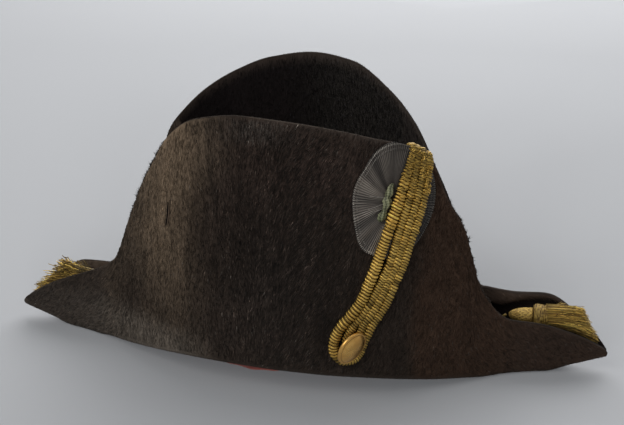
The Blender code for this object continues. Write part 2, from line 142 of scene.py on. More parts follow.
BUTTON_SPOT = (50.8, 45.2)
BUTTON_LIFT = 12.6
BUTTON_FACE = np.array((0.776, -0.580, -0.249)) / sqrt(0.776 ** 2 + 0.580 ** 2 + 0.249 ** 2)
TASSELS = {
    "front": dict(tip=(154.5, 4.0, 37.7), waist=(182.0, 3.0, 38.8), end=(212.3, 1.2, 34.5),
                  half_y=4.4, half_z=10.3, slant=1.03,
                  cord=[(99.5, -8.0, 27.0), (112.0, -9.0, 21.5), (126.0, -8.5, 20.0), (138.0, -5.5, 24.0),
                        (147.0, -0.5, 31.5), (152.8, 3.4, 37.0)]),
    "rear": dict(tip=(-142.5, 2.5, 32.5), waist=(-170.0, 2.0, 36.5), end=(-203.3, 0.4, 36.7),
                 half_y=5.4, half_z=12.2, slant=1.40,
                 cord=[(-99.5, -8.0, 27.0), (-108.0, -9.0, 20.5), (-118.0, -8.5, 18.0), (-128.0, -5.5, 20.0),
                       (-136.0, -1.0, 26.0), (-141.0, 1.9, 31.3)]),
}
SKIRT_START, SKIRT_R = 27.8, 8.4

X3, Y3, Z3 = np.eye(3)


# ---------------------------------------------------------------- curves and noise
def slopes(xs, ys):
    h = np.diff(xs)
    d = np.diff(ys) / h
    m = np.zeros_like(ys)
    for i in range(1, len(xs) - 1):
        if d[i - 1] * d[i] > 0:
            a, b = 2 * h[i] + h[i - 1], h[i] + 2 * h[i - 1]
            m[i] = (a + b) / (a / d[i - 1] + b / d[i])
    m[0], m[-1] = d[0], d[-1]
    return m


def curve_at(xs, ys, x):
    """smooth curve through the points that never overshoots them"""
    xs, ys = np.asarray(xs, float), np.asarray(ys, float)
    m, h = slopes(xs, ys), np.diff(xs)
    x = np.asarray(x, float)
    i = np.clip(np.searchsorted(xs, x, side="right") - 1, 0, len(h) - 1)
    t = (x - xs[i]) / h[i]
    return ((1 + 2 * t) * (1 - t) ** 2 * ys[i] + t * (1 - t) ** 2 * h[i] * m[i]
            + t * t * (3 - 2 * t) * ys[i + 1] + t * t * (t - 1) * h[i] * m[i + 1])


def column(table, rear, front, x):
    t = np.asarray(table)
    xs = np.concatenate([-t[::-1, 0][:-1], t[:, 0]])
    ys = np.concatenate([t[::-1, rear][:-1], t[:, front]])
    return curve_at(xs, ys, x)


def section(x, near):
    if near:
        ye, ze = column(EDGE, 1, 1, x), column(EDGE, 2, 3, x)
    else:
        ye, ze = column(EDGE, 4, 4, x), column(EDGE, 5, 6, x)
    return ye, ze, column(FLOOR, 1, 1, x), column(FLOOR, 2, 3, x), column(FLOOR, 4, 4, x)


def smooth(t):
    t = np.clip(t, 0, 1)
    return t * t * (3 - 2 * t)


def noise(u, v, seed):
    """smooth noise from 0 to 1 that changes over about one unit"""
    grid = np.random.default_rng(seed).random((128, 128))
    u, v = np.broadcast_arrays(np.asarray(u, float), np.asarray(v, float))
    iu, iv = np.floor(u).astype(int), np.floor(v).astype(int)
    fu, fv = smooth(u - iu), smooth(v - iv)
    a, b = grid[iu % 128, iv % 128], grid[(iu + 1) % 128, iv % 128]
    c, d = grid[iu % 128, (iv + 1) % 128], grid[(iu + 1) % 128, (iv + 1) % 128]
    return (a * (1 - fu) + b * fu) * (1 - fv) + (c * (1 - fu) + d * fu) * fv


def unit(a):
    return a / np.maximum(np.linalg.norm(a, axis=-1, keepdims=True), 1e-9)


def hump(x, middle, half):
    return np.exp(-((x - middle) / half) ** 2)


# ---------------------------------------------------------------- the felt's surface
def felt(x, w):
    """plain outer face of the brim: w = -1 near free edge, 0 keel, +1 far free edge"""
    x, w = np.broadcast_arrays(np.asarray(x, float), np.asarray(w, float))
    out = np.zeros(x.shape + (3,))
    for near in (True, False):
        m = (w < 0) if near else (w >= 0)
        if not m.any():
            continue
        ye, ze, yb, zf, r = section(x[m], near)
        a = np.abs(w[m])
        f = np.clip(a / W_FLOOR, 0, 1)
        c = np.clip((a - W_FLOOR) / (W_FOLD - W_FLOOR), 0, 1) * pi / 2
        v = np.clip((a - W_FOLD) / (1 - W_FOLD), 0, 1)
        y = np.where(a < W_FLOOR, (yb - r) * f, yb - r + r * np.sin(c))
        z = np.where(a < W_FLOOR, zf, zf + r - r * np.cos(c))
        y = np.where(a > W_FOLD, yb + (ye - yb) * v ** LEAN, y)
        z = np.where(a > W_FOLD, zf + r + v * (ze - zf - r), z)
        out[m] = np.stack([x[m], -y if near else y, z], -1)
    return out


def up_wall(w):
    """0 at the fold, 1 at the free edge"""
    return np.clip((np.abs(w) - W_FOLD) / (1 - W_FOLD), 0, 1)


def normal(x, w):
    x, w = np.broadcast_arrays(np.asarray(x, float), np.asarray(w, float))
    sx = felt(x + 0.5, w) - felt(x - 0.5, w)
    lo, hi = np.clip(w - 0.004, -1, 1), np.clip(w + 0.004, -1, 1)
    sw = felt(x, hi) - felt(x, lo)
    return unit(np.cross(sw, sx))


def wave(x, w):
    """hand-made unevenness of the felt, out of its plain face, in mm"""
    v, near = up_wall(w), w < 0
    calm = 1 - 0.85 * np.where(near, hump(x, 72, 34) * smooth((v - 0.02) / 0.1), 0)
    d = 0.9 * (noise(x / 46 + 9, v * 2.2 + 3 * near, 11) - 0.5)
    d += 0.5 * (noise(x / 19 + 4, v * 5.0 + 7 * near, 12) - 0.5)
    d *= smooth(v / 0.2)
    # the near fan turns a soft shoulder behind its middle, with a shallow channel beside it
    d += np.where(near, (1.1 * hump(x, -74, 13) - 0.8 * hump(x, -46, 15)) * smooth(v / 0.25), 0)
    # the free edges ripple a little, more out on the wings
    edge = smooth((v - 0.72) / 0.28)
    d += edge * (0.55 * np.sin(x / 17 + 2 * near) + 0.35 * np.sin(x / 7.3 + near)) * (0.35 + 0.65 * smooth((np.abs(x) - 95) / 50))
    # shallow dents low on the wings
    d -= 1.0 * hump(x, -128, 16) * hump(v, 0.45, 0.3) + 0.8 * hump(x, 122, 15) * hump(v, 0.4, 0.3)
    return d * calm


def outer(x, w, lift=0.0):
    """outer face of the felt with its unevenness, moved out by lift"""
    d = wave(np.asarray(x, float), np.asarray(w, float)) + lift
    return felt(x, w) + normal(x, w) * np.asarray(d)[..., None]


def fold_line(x):
    """share of the far wing's height where its rolled lip begins, in front"""
    return np.interp(x, [104, 116, 142, 150, 160, 167, 176, 190, 205, 215], [1.02, 0.74, 0.71, 0.73, 0.83, 0.87, 0.905, 0.94, 0.97, 1.02])


def roll(x, w):
    """how far the inner face swells at the rolled edge of the far front wing"""
    v = up_wall(w)
    start = fold_line(x)
    lip = smooth((v - start) / 0.05) * (1 - 0.55 * smooth((v - start - 0.10) / 0.25))
    return 3.0 * lip * smooth((x - 106) / 12) * (w > 0)


def w_at(x, z, near=True):
    ye, ze, yb, zf, r = section(np.asarray(x, float), near)
    v = np.clip((z - (zf + r)) / (ze - zf - r), 0, 1)
    w = W_FOLD + (1 - W_FOLD) * v
    return -w if near else w


def near_wall(x, z, lift):
    """points at lift over the near fan's outer face at length x and height z, and their normals"""
    x, z = np.broadcast_arrays(np.asarray(x, float), np.asarray(z, float))
    w = w_at(x, z)
    return outer(x, w, lift), normal(x, w)


# ---------------------------------------------------------------- meshes and materials
def mesh_of(name, points, faces, smooth_shade=True):
    """mesh from points in mm and a list of face arrays, each of triangles or quads"""
    me = bpy.data.meshes.new(name)
    points = np.asarray(points, float) + (0, SHIFT_Y, 0)
    me.vertices.add(len(points))
    me.vertices.foreach_set("co", (points * MM).astype(np.float32).ravel())
    faces = [np.asarray(f, np.int32) for f in faces if len(f)]
    loops = np.concatenate([f.ravel() for f in faces])
    sizes = np.concatenate([np.full(len(f), f.shape[1], np.int32) for f in faces])
    me.loops.add(len(loops))
    me.loops.foreach_set("vertex_index", loops)
    me.polygons.add(len(sizes))
    me.polygons.foreach_set("loop_start", np.concatenate([[0], np.cumsum(sizes)[:-1]]).astype(np.int32))
    me.polygons.foreach_set("use_smooth", np.full(len(sizes), smooth_shade))
    me.update(calc_edges=True)
    return me


def put(me, name, values):
    values = np.asarray(values, np.float32)
    if values.ndim == 1:
        a = me.attributes.new(name, "FLOAT", "POINT")
        a.data.foreach_set("value", values)
    else:
        a = me.attributes.new(name, "FLOAT_COLOR", "POINT")
        rgba = np.ones((len(values), 4), np.float32)
        rgba[:, :3] = values
        a.data.foreach_set("color", rgba.ravel())


def piece(name, me, mat, *nodes, slot=None):
    ob = bpy.data.objects.new(name, me)
    bpy.context.scene.collection.objects.link(ob)
    me.materials.append(mat)
    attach(ob, "root")
    if nodes:
        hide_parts(*nodes)
    return ob


def grid_faces(rows, cols, wrap, start=0, flip=False):
    """quads of a grid of points laid out row by row; wrap joins the last column to the first"""
    i = np.arange(rows - 1)[:, None]
    j = np.arange(cols if wrap else cols - 1)[None, :]
    k = (j + 1) % cols
    f = np.stack([i * cols + j, i * cols + k, (i + 1) * cols + k, (i + 1) * cols + j], -1).reshape(-1, 4) + start
    return f[:, ::-1] if flip else f


class Heap:
    """many small closed bodies gathered into one mesh, with values at their points"""

    def __init__(self):
        self.points, self.tris, self.quads, self.values, self.n = [], [], [], {}, 0

    def add(self, points, tris=(), quads=(), **values):
        self.points.append(points)
        if len(tris):
            self.tris.append(np.asarray(tris) + self.n)
        if len(quads):
            self.quads.append(np.asarray(quads) + self.n)
        for k, v in values.items():
            v = np.asarray(v, float)
            if v.ndim == 0:
                v = np.full(len(points), float(v))
            elif v.shape == (3,) and len(points) != 3:
                v = np.tile(v, (len(points), 1))
            self.values.setdefault(k, []).append(v)
        self.n += len(points)

    def mesh(self, name):
        me = mesh_of(name, np.concatenate(self.points),
                     [np.concatenate(f) for f in (self.tris, self.quads) if f])
        for k, v in self.values.items():
            put(me, k, np.concatenate(v))
        return me


def sweep(path, radius, ref, sides=12):
    """closed tube round a path; radius is one value a ring, or rings x sides; ref is the way 'up' looks"""
    path = np.asarray(path, float)
    t = unit(np.gradient(path, axis=0))
    ref = np.broadcast_to(np.asarray(ref, float), path.shape)
    side = unit(np.cross(ref, t))
    up = np.cross(t, side)
    a = np.linspace(0, 2 * pi, sides, endpoint=False)
    r = np.asarray(radius, float)
    r = r[:, None] * np.ones(sides) if r.ndim == 1 else r
    ring = path[:, None] + r[..., None] * (np.cos(a)[None, :, None] * side[:, None] + np.sin(a)[None, :, None] * up[:, None])
    n = len(path)
    points = np.concatenate([ring.reshape(-1, 3), path[:1], path[-1:]])
    quads = grid_faces(n, sides, True)
    j = np.arange(sides)
    k = (j + 1) % sides
    first, last = n * sides, n * sides + 1
    tris = np.concatenate([np.stack([np.full(sides, first), k, j], -1),
                           np.stack([np.full(sides, last), (n - 1) * sides + j, (n - 1) * sides + k], -1)])
    return points, tris, quads


def resample(path, step, *others):
    """points every step mm along a smooth curve through the path, with the other values carried along"""
    path = np.asarray(path, float)
    run = np.concatenate([[0], np.cumsum(np.linalg.norm(np.diff(path, axis=0), axis=1))])
    s = np.linspace(0, run[-1], max(int(run[-1] / step) + 1, 3))
    m = np.gradient(path, run, axis=0)
    i = np.clip(np.searchsorted(run, s, side="right") - 1, 0, len(run) - 2)
    h = (run[i + 1] - run[i])[:, None]
    t = (s - run[i])[:, None] / h
    out = ((1 + 2 * t) * (1 - t) ** 2 * path[i] + t * (1 - t) ** 2 * h * m[i]
           + t * t * (3 - 2 * t) * path[i + 1] + t * t * (t - 1) * h * m[i + 1])
    return [out, s] + [np.interp(s, run, o) if np.ndim(o) == 1 else
                       unit(np.stack([np.interp(s, run, o[:, c]) for c in range(3)], -1)) for o in others]


def lin(*rgb):
    """an sRGB colour of 0 to 255 as a linear one"""
    c = np.asarray(rgb, float) / 255
    return np.where(c <= 0.04045, c / 12.92, ((c + 0.055) / 1.055) ** 2.4)


class Nodes:
    """short way of writing a material's nodes"""

    def __init__(self, name):
        self.mat = bpy.data.materials.new(name)
        self.mat.use_nodes = True
        self.tree = self.mat.node_tree
        self.shader = self.tree.nodes["Principled BSDF"]

    def node(self, kind, inputs=(), **settings):
        n = self.tree.nodes.new("ShaderNode" + kind)
        for k, v in settings.items():
            setattr(n, k, v)
        for k, v in dict(inputs).items():
            self.to(n.inputs[k], v)
        return n

    def to(self, socket, value):
        if isinstance(value, bpy.types.NodeSocket):
            self.tree.links.new(value, socket)
        elif hasattr(value, "__len__") and len(value) == 3 and socket.type == "RGBA":
            socket.default_value = (*[float(c) for c in value], 1.0)
        else:
            socket.default_value = value

    def set(self, **inputs):
        for k, v in inputs.items():
            self.to(self.shader.inputs[k.replace("_", " ")], v)

    def attr(self, name, out="Fac"):
        return self.node("Attribute", attribute_name=name).outputs[out]

    def math(self, op, a, b=0.5, clamp=False):
        n = self.node("Math", operation=op, use_clamp=clamp)
        self.to(n.inputs[0], a)
        self.to(n.inputs[1], b)
        return n.outputs[0]

    def vec(self, x, y, z=0.0):
        return self.node("CombineXYZ", {0: x, 1: y, 2: z}).outputs[0]

    def scaled(self, v, by):
        n = self.node("VectorMath", operation="MULTIPLY")
        self.to(n.inputs[0], v)
        n.inputs[1].default_value = by
        return n.outputs[0]

    def noise(self, vector, scale=1.0, detail=3.0, rough=0.55):
        return self.node("TexNoise", {"Vector": vector, "Scale": scale, "Detail": detail, "Roughness": rough}).outputs["Fac"]

    def ramp(self, value, lo, hi, a=0.0, b=1.0):
        n = self.node("MapRange", {"Value": value, "From Min": lo, "From Max": hi, "To Min": a, "To Max": b}, clamp=True)
        return n.outputs[0]

    def mix(self, fac, a, b, how="MIX"):
        n = self.node("Mix", data_type="RGBA", blend_type=how)
        self.to(n.inputs[0], fac)
        self.to(n.inputs[6], a)
        self.to(n.inputs[7], b)
        return n.outputs[2]

    def grey(self, value):
        return self.node("CombineColor", {0: value, 1: value, 2: value}).outputs[0]

    def bump(self, height, strength, distance, after=None):
        n = self.node("Bump", {"Height": height, "Strength": strength, "Distance": distance * MM})
        if after is not None:
            self.to(n.inputs["Normal"], after)
        return n.outputs[0]


# ---------------------------------------------------------------- colour of the felt
GAIN = 1.83                    # felt colour per tone seen


def felt_tone(x, w, inner=False):
    """linear colour of the plush, with some painted light and shade, and how dusty it is, from where it lies on the hat
    """
    x, w = np.broadcast_arrays(np.asarray(x, float), np.asarray(w, float))
    p = felt(x, w)
    z, v = p[..., 2], up_wall(w)
    near = (w < 0)[..., None]
    c = np.where(near, lin(37, 30, 25), lin(36, 29, 24)) * np.ones(x.shape + (3,))
    dust = 0.06 + np.zeros(x.shape)

    def lay(amount, tone, where):
        nonlocal c
        a = (amount * where)[..., None]
        c = c * (1 - a) + lin(*tone) * a

    out_near, out_far = (w < 0) & (not inner), (w >= 0) & (not inner)
    blot = noise(x / 26 + 5, z / 24, 21) - 0.5
    xx = x + 9 * blot
    # fine streaks down the nap
    thread = noise(x / 1.9 + 3, z / 15, 22) + 0.6 * noise(x / 4.2 + 8, z / 26, 23)
    # near fan, outside
    upper = smooth((z - 40) / 70)
    band_end = -48 + 24 * smooth((z - 135) / 40)
    wander = 20 * (noise(x / 48 + 1, z / 30 + 2, 24) - 0.5)
    # painted light and shade: the near fan's left shoulder faces the key light and is laid paler, palest in the band at
    # x -74 to -86; the front-facing middle is laid darker. This is partly the nap's own faded colour and partly painted
    # light, sheen and shade
    lay(0.94, (59, 50, 41), out_near * smooth((band_end + 8 - xx - wander) / 40))
    lay(0.80, (85, 72, 58), out_near * hump(xx, -86, 22) * upper)
    lay(0.75, (93, 79, 64), out_near * hump(xx, -74, 15) * smooth((z - 105) / 50))
    lay(0.80, (36, 29, 24), out_near * hump(xx, -114, 25) * hump(z, 44, 34))
    # partly painted shade: the front-facing middle is laid darker here and around x 2 below
    lay(0.50, (24, 19, 16), out_near * hump(xx, -26, 16) * hump(z, 112, 42))
    lay(0.75, (40, 34, 30), out_near * smooth((-132 - xx) / 24))
    lay(0.85, (24, 18, 15), out_near * hump(xx, 2, 38) * hump(z, 75, 52))
    lay(0.65, (44, 34, 30), out_near * hump(xx, 20, 60) * hump(z, 156, 34))
    lay(0.50, (48, 40, 35), out_near * hump(xx, -8, 44) * hump(z, 52, 31))
    lay(0.70, (40, 34, 30), out_near * hump(xx, -4, 17) * hump(z, 84, 32))
    lay(0.70, (20, 15, 12), out_near * hump(xx, 33, 9) * hump(z, 60, 24))
    lay(0.85, (50, 36, 27), out_near * smooth((xx - 86) / 14))
    lay(0.60, (47, 37, 31), out_near * smooth((xx - 140) / 30))
    low = smooth((46 - z) / 22) * smooth((-34 - x) / 40)
    lay(0.70, (82, 75, 67), out_near * low * hump(x, -92, 58))
    dust = np.where(out_near, dust + 0.45 * low + 0.12 * hump(x, 12, 55) * smooth((110 - z) / 70)
                    + 0.80 * hump(x, -15, 20) * smooth((v - 0.88) / 0.05) * (1 - smooth((v - 0.985) / 0.01))
                    + 0.25 * smooth((v - 0.975) / 0.02) * smooth((x + 20) / 10), dust)
    # far fan, outside: the same nap, less worn
    lay(0.60, (52, 43, 36), out_far * hump(xx, 60, 30) * smooth((z - 30) / 40))
    lay(0.55, (48, 40, 34), out_far * hump(xx, -90, 24))
    lay(0.60, (27, 22, 19), out_far * hump(xx, -15, 45) * hump(z, 95, 70))
    low = smooth((44 - z) / 22)
    lay(0.45, (60, 54, 48), out_far * low)
    dust = np.where(out_far, dust + 0.45 * low + 0.30 * smooth((v - 0.95) / 0.05), dust)
    # the underside, rubbed
    under = smooth((W_FOLD - np.abs(w)) / 0.12)
    lay(0.55, (50, 43, 37), under * (not inner))
    dust = dust + 0.25 * under * (not inner)
    if inner:
        c[...] = np.where(near, lin(25, 20, 18), lin(19, 15, 15) * (1.06 - 0.74 * smooth((x + 30) / 40))[..., None])
        # painted light: the inside of the far rear wing is laid far paler than the rest of the inside, to lift the
        # shade that it lies in
        c[...] = np.where(((w > 0) & (x < -100))[..., None], lin(70, 60, 52), c)
        c[...] = np.where(((w > 0) & (x > 70))[..., None], lin(24, 19, 18), c)
        start = fold_line(x)
        lay(0.92, (70, 58, 50), (w > 0) * (x > 104) * smooth((v - start) / 0.03))
        lay(0.60, (40, 33, 30), (w > 0) * smooth((x - 152) / 22) * smooth((v - start) / 0.03))
        # painted shadow: a near-black band just under the rolled lip, where the lip's shade falls
        lay(0.80, (10, 8, 8), (w > 0) * (x > 104) * hump(v, start - 0.05, 0.05))
        lay(0.80, (50, 42, 37), smooth((v - 0.984) / 0.012))
        lay(0.80, (44, 37, 33), (w > 0) * hump(x, 76, 10) * smooth((v - 0.962) / 0.02))
        dust = 0.02 + np.where(w > 0, 0.46 * smooth((x + 30) / 60) * smooth((v - 0.50) / 0.2) * smooth((104 - x) / 20), 0.03)
    streaky = 0.14 + 0.30 * smooth((56 - x) / 50) * smooth((x + 135) / 40) * (not inner)
    c = c * np.exp(streaky * (thread - 0.8))[..., None]
    return c * GAIN, np.clip(dust, 0, 1)


def nap_slant(x, w):
    """how far the nap leans along X for each mm that it runs down the wall"""
    near = w < 0
    s = np.where(near, -0.62 * hump(x, 24, 30) - 0.28 * smooth((x - 20) / 60), 0.25 * np.sin(x / 60))
    s = s + np.where(near, 0.12 * hump(x, -60, 60), 0)
    wing = smooth((np.abs(x) - 112) / 40)
    return s * (1 - wing) + np.sign(x) * 1.5 * wing


def plush(name, tone_scale=1.0, hair=False):
    """napped felt: fine streaks along the nap, dark flecks, dust, soft sheen"""
    m = Nodes(name)
    tint = m.attr("tint", "Color")
    across, along, side = m.attr("nap_u"), m.attr("nap_v"), m.attr("nap_s")
    nap = m.vec(across, along, side)
    if hair:
        tone = m.attr("tone")
        col = m.mix(1.0, tint, m.grey(tone), "MULTIPLY")
        fine = m.noise(m.scaled(nap, (2.3, 0.5, 9.0)), 1.0, 2.0)
        col = m.mix(1.0, col, m.grey(m.ramp(fine, 0.3, 0.7, 0.78, 1.22)), "MULTIPLY")
        m.set(Base_Color=col, Roughness=m.ramp(fine, 0.3, 0.7, 0.80, 0.68), Normal=m.bump(fine, 0.3, 0.1))
        for k, v in {"Specular IOR Level": 0.10, "Sheen Weight": 0.05, "Sheen Roughness": 0.45}.items():
            m.shader.inputs[k].default_value = v
        m.shader.inputs["Sheen Tint"].default_value = (0.75, 0.66, 0.58, 1)
        return m.mat
    streak = m.noise(m.scaled(nap, (2.1, 0.30, 9.0)), 1.0, 3.0, 0.6)
    fleck = m.noise(m.scaled(nap, (1.1, 0.34, 5.0)), 1.0, 2.0, 0.5)
    mottle = m.noise(m.scaled(nap, (0.09, 0.06, 3.0)), 1.0, 4.0, 0.6)
    grain = m.noise(m.scaled(nap, (3.6, 1.6, 9.0)), 1.0, 2.0, 0.5)
    col = m.mix(1.0, tint, m.grey(m.ramp(streak, 0.30, 0.72, 0.58, 1.48)), "MULTIPLY")
    col = m.mix(1.0, col, m.grey(m.ramp(mottle, 0.30, 0.70, 0.80, 1.22)), "MULTIPLY")
    col = m.mix(m.ramp(fleck, 0.63, 0.72, 0.0, 0.72), col, m.mix(1.0, col, (0.30, 0.27, 0.25), "MULTIPLY"))
    dusty = m.math("MULTIPLY", m.attr("dust"), m.ramp(m.math("MULTIPLY", streak, grain), 0.18, 0.38, 0.0, 1.0))
    col = m.mix(dusty, col, tuple(lin(108, 102, 96) * 0.85))
    height = m.math("ADD", m.math("MULTIPLY", streak, 0.8), m.math("MULTIPLY", grain, 0.35))
    m.set(Base_Color=col, Roughness=m.ramp(streak, 0.3, 0.7, 0.92, 0.78), Normal=m.bump(height, 0.75, 0.45))
    for k, v in {"Specular IOR Level": 0.08, "Sheen Weight": 0.04, "Sheen Roughness": 0.5}.items():
        m.shader.inputs[k].default_value = v
    m.shader.inputs["Sheen Tint"].default_value = (0.75, 0.66, 0.58, 1)
    return m.mat


PLUSH = plush("plush_felt")
HAIR = plush("plush_nap", hair=True)


# ---------------------------------------------------------------- brim
def rib_ends():
    fine = np.linspace(-222.0, 222.0, 2000)
    weight = 1.0 + 1.3 * np.exp(-((np.abs(fine) - 125.0) / 24.0) ** 2)
    run = np.cumsum(weight)
    run = (run - run[0]) / (run[-1] - run[0])
    xs = np.interp(np.linspace(0, 1, 57), run, fine)
    near = [(x, -1.0) for x in xs]
    front = [(224.5, -0.8), (225.0, -0.6), (225.0, -0.45), (225.0, -0.28), (225.0, 0.0)]
    front += [(x, -w) for x, w in front[-2::-1]]
    far = [(x, 1.0) for x in xs[::-1]]
    rear = [(-x, -w) for x, w in front]
    return near + front + far + rear


def inner_ends(x, w):
    k = tanh(HALF_LENGTH / 95.0)
    xi = OPENING_A * np.tanh(x / 95.0) / k
    xm = OPENING_A * tanh(222.0 / 95.0) / k
    yi = OPENING_B * np.sqrt(np.maximum(1 - (xi / OPENING_A) ** 2, 0)) * np.where(w > 0, 1, -1)
    tip = np.abs(xi) > xm
    yt = OPENING_B * sqrt(1 - (xm / OPENING_A) ** 2) * w
    xt = OPENING_A * np.sqrt(1 - (yt / OPENING_B) ** 2) * np.sign(x)
    xi, yi = np.where(tip, xt, xi), np.where(tip, yt, yi)
    _, _, yb, _, r = section(xi, True)
    return xi, W_FLOOR * yi / (yb - r)


RIBS_PER_STEP = 3
OUT_ROWS = (6, 7, 44)          # on the underside, in the fold and up the wall
IN_ROWS = 30


def brim_mesh():
    ends = np.array(rib_ends() + rib_ends()[:1])
    t = np.linspace(0, len(ends) - 1, (len(ends) - 1) * RIBS_PER_STEP + 1)[:-1]
    k = np.arange(len(ends))
    xo, wo = curve_at(k, ends[:, 0], t), np.clip(curve_at(k, ends[:, 1], t), -1, 1)
    xi, wi = inner_ends(xo, wo)
    wide = np.abs(wo) > 0.9
    s1 = np.where(wide, (W_FLOOR - np.abs(wi)) / (np.abs(wo) - np.abs(wi) + 1e-9), W_FLOOR)
    s2 = np.where(wide, (W_FOLD - np.abs(wi)) / (np.abs(wo) - np.abs(wi) + 1e-9), W_FOLD)
    # the cut edge is round, so both faces stop half a thickness short of it
    back = 0.5 * FELT
    e1 = felt(xo, wo)
    e0 = felt(xi + (xo - xi) * 0.98, wi + (wo - wi) * 0.98)
    stop = 1 - 0.02 * back / np.maximum(np.linalg.norm(e1 - e0, axis=-1), 0.05)
    stop = np.maximum(stop, 0.9)
    a, b, c = OUT_ROWS
    rows = [s1 * q for q in np.linspace(0, 1, a, endpoint=False)]
    rows += [s1 + (s2 - s1) * q for q in np.linspace(0, 1, b, endpoint=False)]
    rows += [s2 + (stop - s2) * q for q in np.linspace(0, 1, c)]
    rows = np.array(rows)
    xs, ws = xi + (xo - xi) * rows, wi + (wo - wi) * rows
    n = normal(xs, ws)
    top = felt(xs, ws) + n * wave(xs, ws)[..., None]
    inrow = np.interp(np.linspace(0, 1, IN_ROWS), [0, 0.62, 1.0], [len(rows) - 1, a + b, 0])
    inrow = np.unique(np.round(inrow).astype(int))[::-1]
    under = (top - n * (FELT + roll(xs, ws))[..., None])[inrow]
    mid, nn = (top[-1] + under[0]) / 2, unit(top[-1] - under[0])
    half = np.linalg.norm(top[-1] - under[0], axis=-1, keepdims=True) / 2
    out = unit(top[-1] - top[-4])
    edge = [mid + half * (nn * cos(f) + out * sin(f)) for f in np.linspace(0, pi, 6)[1:-1]]
    rim_n, rim_out = unit(top[0] - under[-1]), unit(top[0] - top[1])
    rim_mid = (top[0] + under[-1]) / 2
    rim = [rim_mid - FELT / 2 * (rim_n * cos(f)) + 0.25 * rim_out * sin(f) for f in np.linspace(0, pi, 4)[1:-1]]
    pts = np.concatenate([top, np.array(edge), under, np.array(rim)])
    wx = np.concatenate([xs, np.repeat(xs[-1:], 4, 0), xs[inrow], np.repeat(xs[:1], 2, 0)])
    ww = np.concatenate([ws, np.repeat(ws[-1:], 4, 0), ws[inrow], np.repeat(ws[:1], 2, 0)])
    inside = np.concatenate([np.zeros(len(top)), np.linspace(0.2, 0.8, 4), np.ones(len(inrow)), np.full(2, 0.5)])
    m, k = pts.shape[0], pts.shape[1]
    faces = grid_faces(m, k, True)
    j = np.arange(k)
    jj = (j + 1) % k
    faces = np.concatenate([faces, np.stack([(m - 1) * k + j, (m - 1) * k + jj, jj, j], -1)])
    me = mesh_of("brim_felt", pts.reshape(-1, 3), [faces])
    # colour and the run of the nap at each point
    c_out, d_out = felt_tone(wx, ww)
    c_in, d_in = felt_tone(wx, ww, inner=True)
    f = inside[:, None] * np.ones(k)
    tint = c_out * (1 - f[..., None]) + c_in * f[..., None]
    edge_on = np.zeros(m)
    edge_on[len(top):len(top) + 4] = 1.0
    edge_on = edge_on[:, None] * np.ones(k)
    worn = edge_on * (0.55 + 0.45 * noise(wx / 6, ww * 0, 31))
    tone = np.where((ww < 0) & (wx > -20) & (wx < 78), 0.9, np.where(np.abs(wx) > 100, 0.16, 0.30))[..., None]
    tint = tint * (1 - 0.75 * worn[..., None]) + lin(78, 68, 59) * tone * 0.75 * worn[..., None]
    along = np.abs(ww) * 170.0
    slope = nap_slant(wx, ww)
    put(me, "tint", tint.reshape(-1, 3))
    put(me, "dust", (d_out * (1 - f) + d_in * f).ravel())
    put(me, "nap_u", (wx - slope * (1 - np.abs(ww)) * 170.0).ravel())
    put(me, "nap_v", along.ravel())
    put(me, "nap_s", (np.sign(ww) * 3.0 + f * 7.0).ravel())
    return me


def facing_out(me):
    """turns a closed mesh's faces outward if they face in"""
    bm = bmesh.new()
    bm.from_mesh(me)
    if bm.calc_volume(signed=True) < 0:
        bmesh.ops.reverse_faces(bm, faces=bm.faces)
        bm.to_mesh(me)
    bm.free()
    return me


brim = piece("brim_felt", facing_out(brim_mesh()), PLUSH, "brim", slot="plush_felt")


# ---------------------------------------------------------------- nap
def area_at(x, w):
    sx = felt(x + 0.5, w) - felt(x - 0.5, w)
    sw = (felt(x, np.clip(w + 0.003, -1, 1)) - felt(x, np.clip(w - 0.003, -1, 1))) / 0.006
    return np.linalg.norm(np.cross(sx, sw), axis=-1), np.linalg.norm(sx, axis=-1), np.linalg.norm(sw, axis=-1)


def spikes(name, root, tip, side, out, width, tint, tone, nap):
    """slender closed fibres, four triangles each"""
    n = len(root)
    h = (width / 2)[:, None]
    a, b, c = root - side * h, root + side * h, root + out * h * 1.1
    pts = np.stack([a, b, c, tip], 1).reshape(-1, 3)
    k = np.arange(n)[:, None] * 4
    tris = np.concatenate([k + [0, 1, 2], k + [0, 3, 1], k + [1, 3, 2], k + [2, 3, 0]])
    vol = np.einsum("ij,ij->i", np.cross(b - a, c - a), tip - a)
    flip = np.tile(vol > 0, 4)
    tris[flip] = tris[flip][:, ::-1]
    me = mesh_of(name, pts, [tris])
    put(me, "tint", np.repeat(tint, 4, 0))
    put(me, "tone", (tone[:, None] * np.array([0.80, 0.80, 0.95, 1.25])).ravel())
    for key, val in zip(("nap_u", "nap_v", "nap_s"), nap):
        put(me, key, np.repeat(val, 4))
    return me


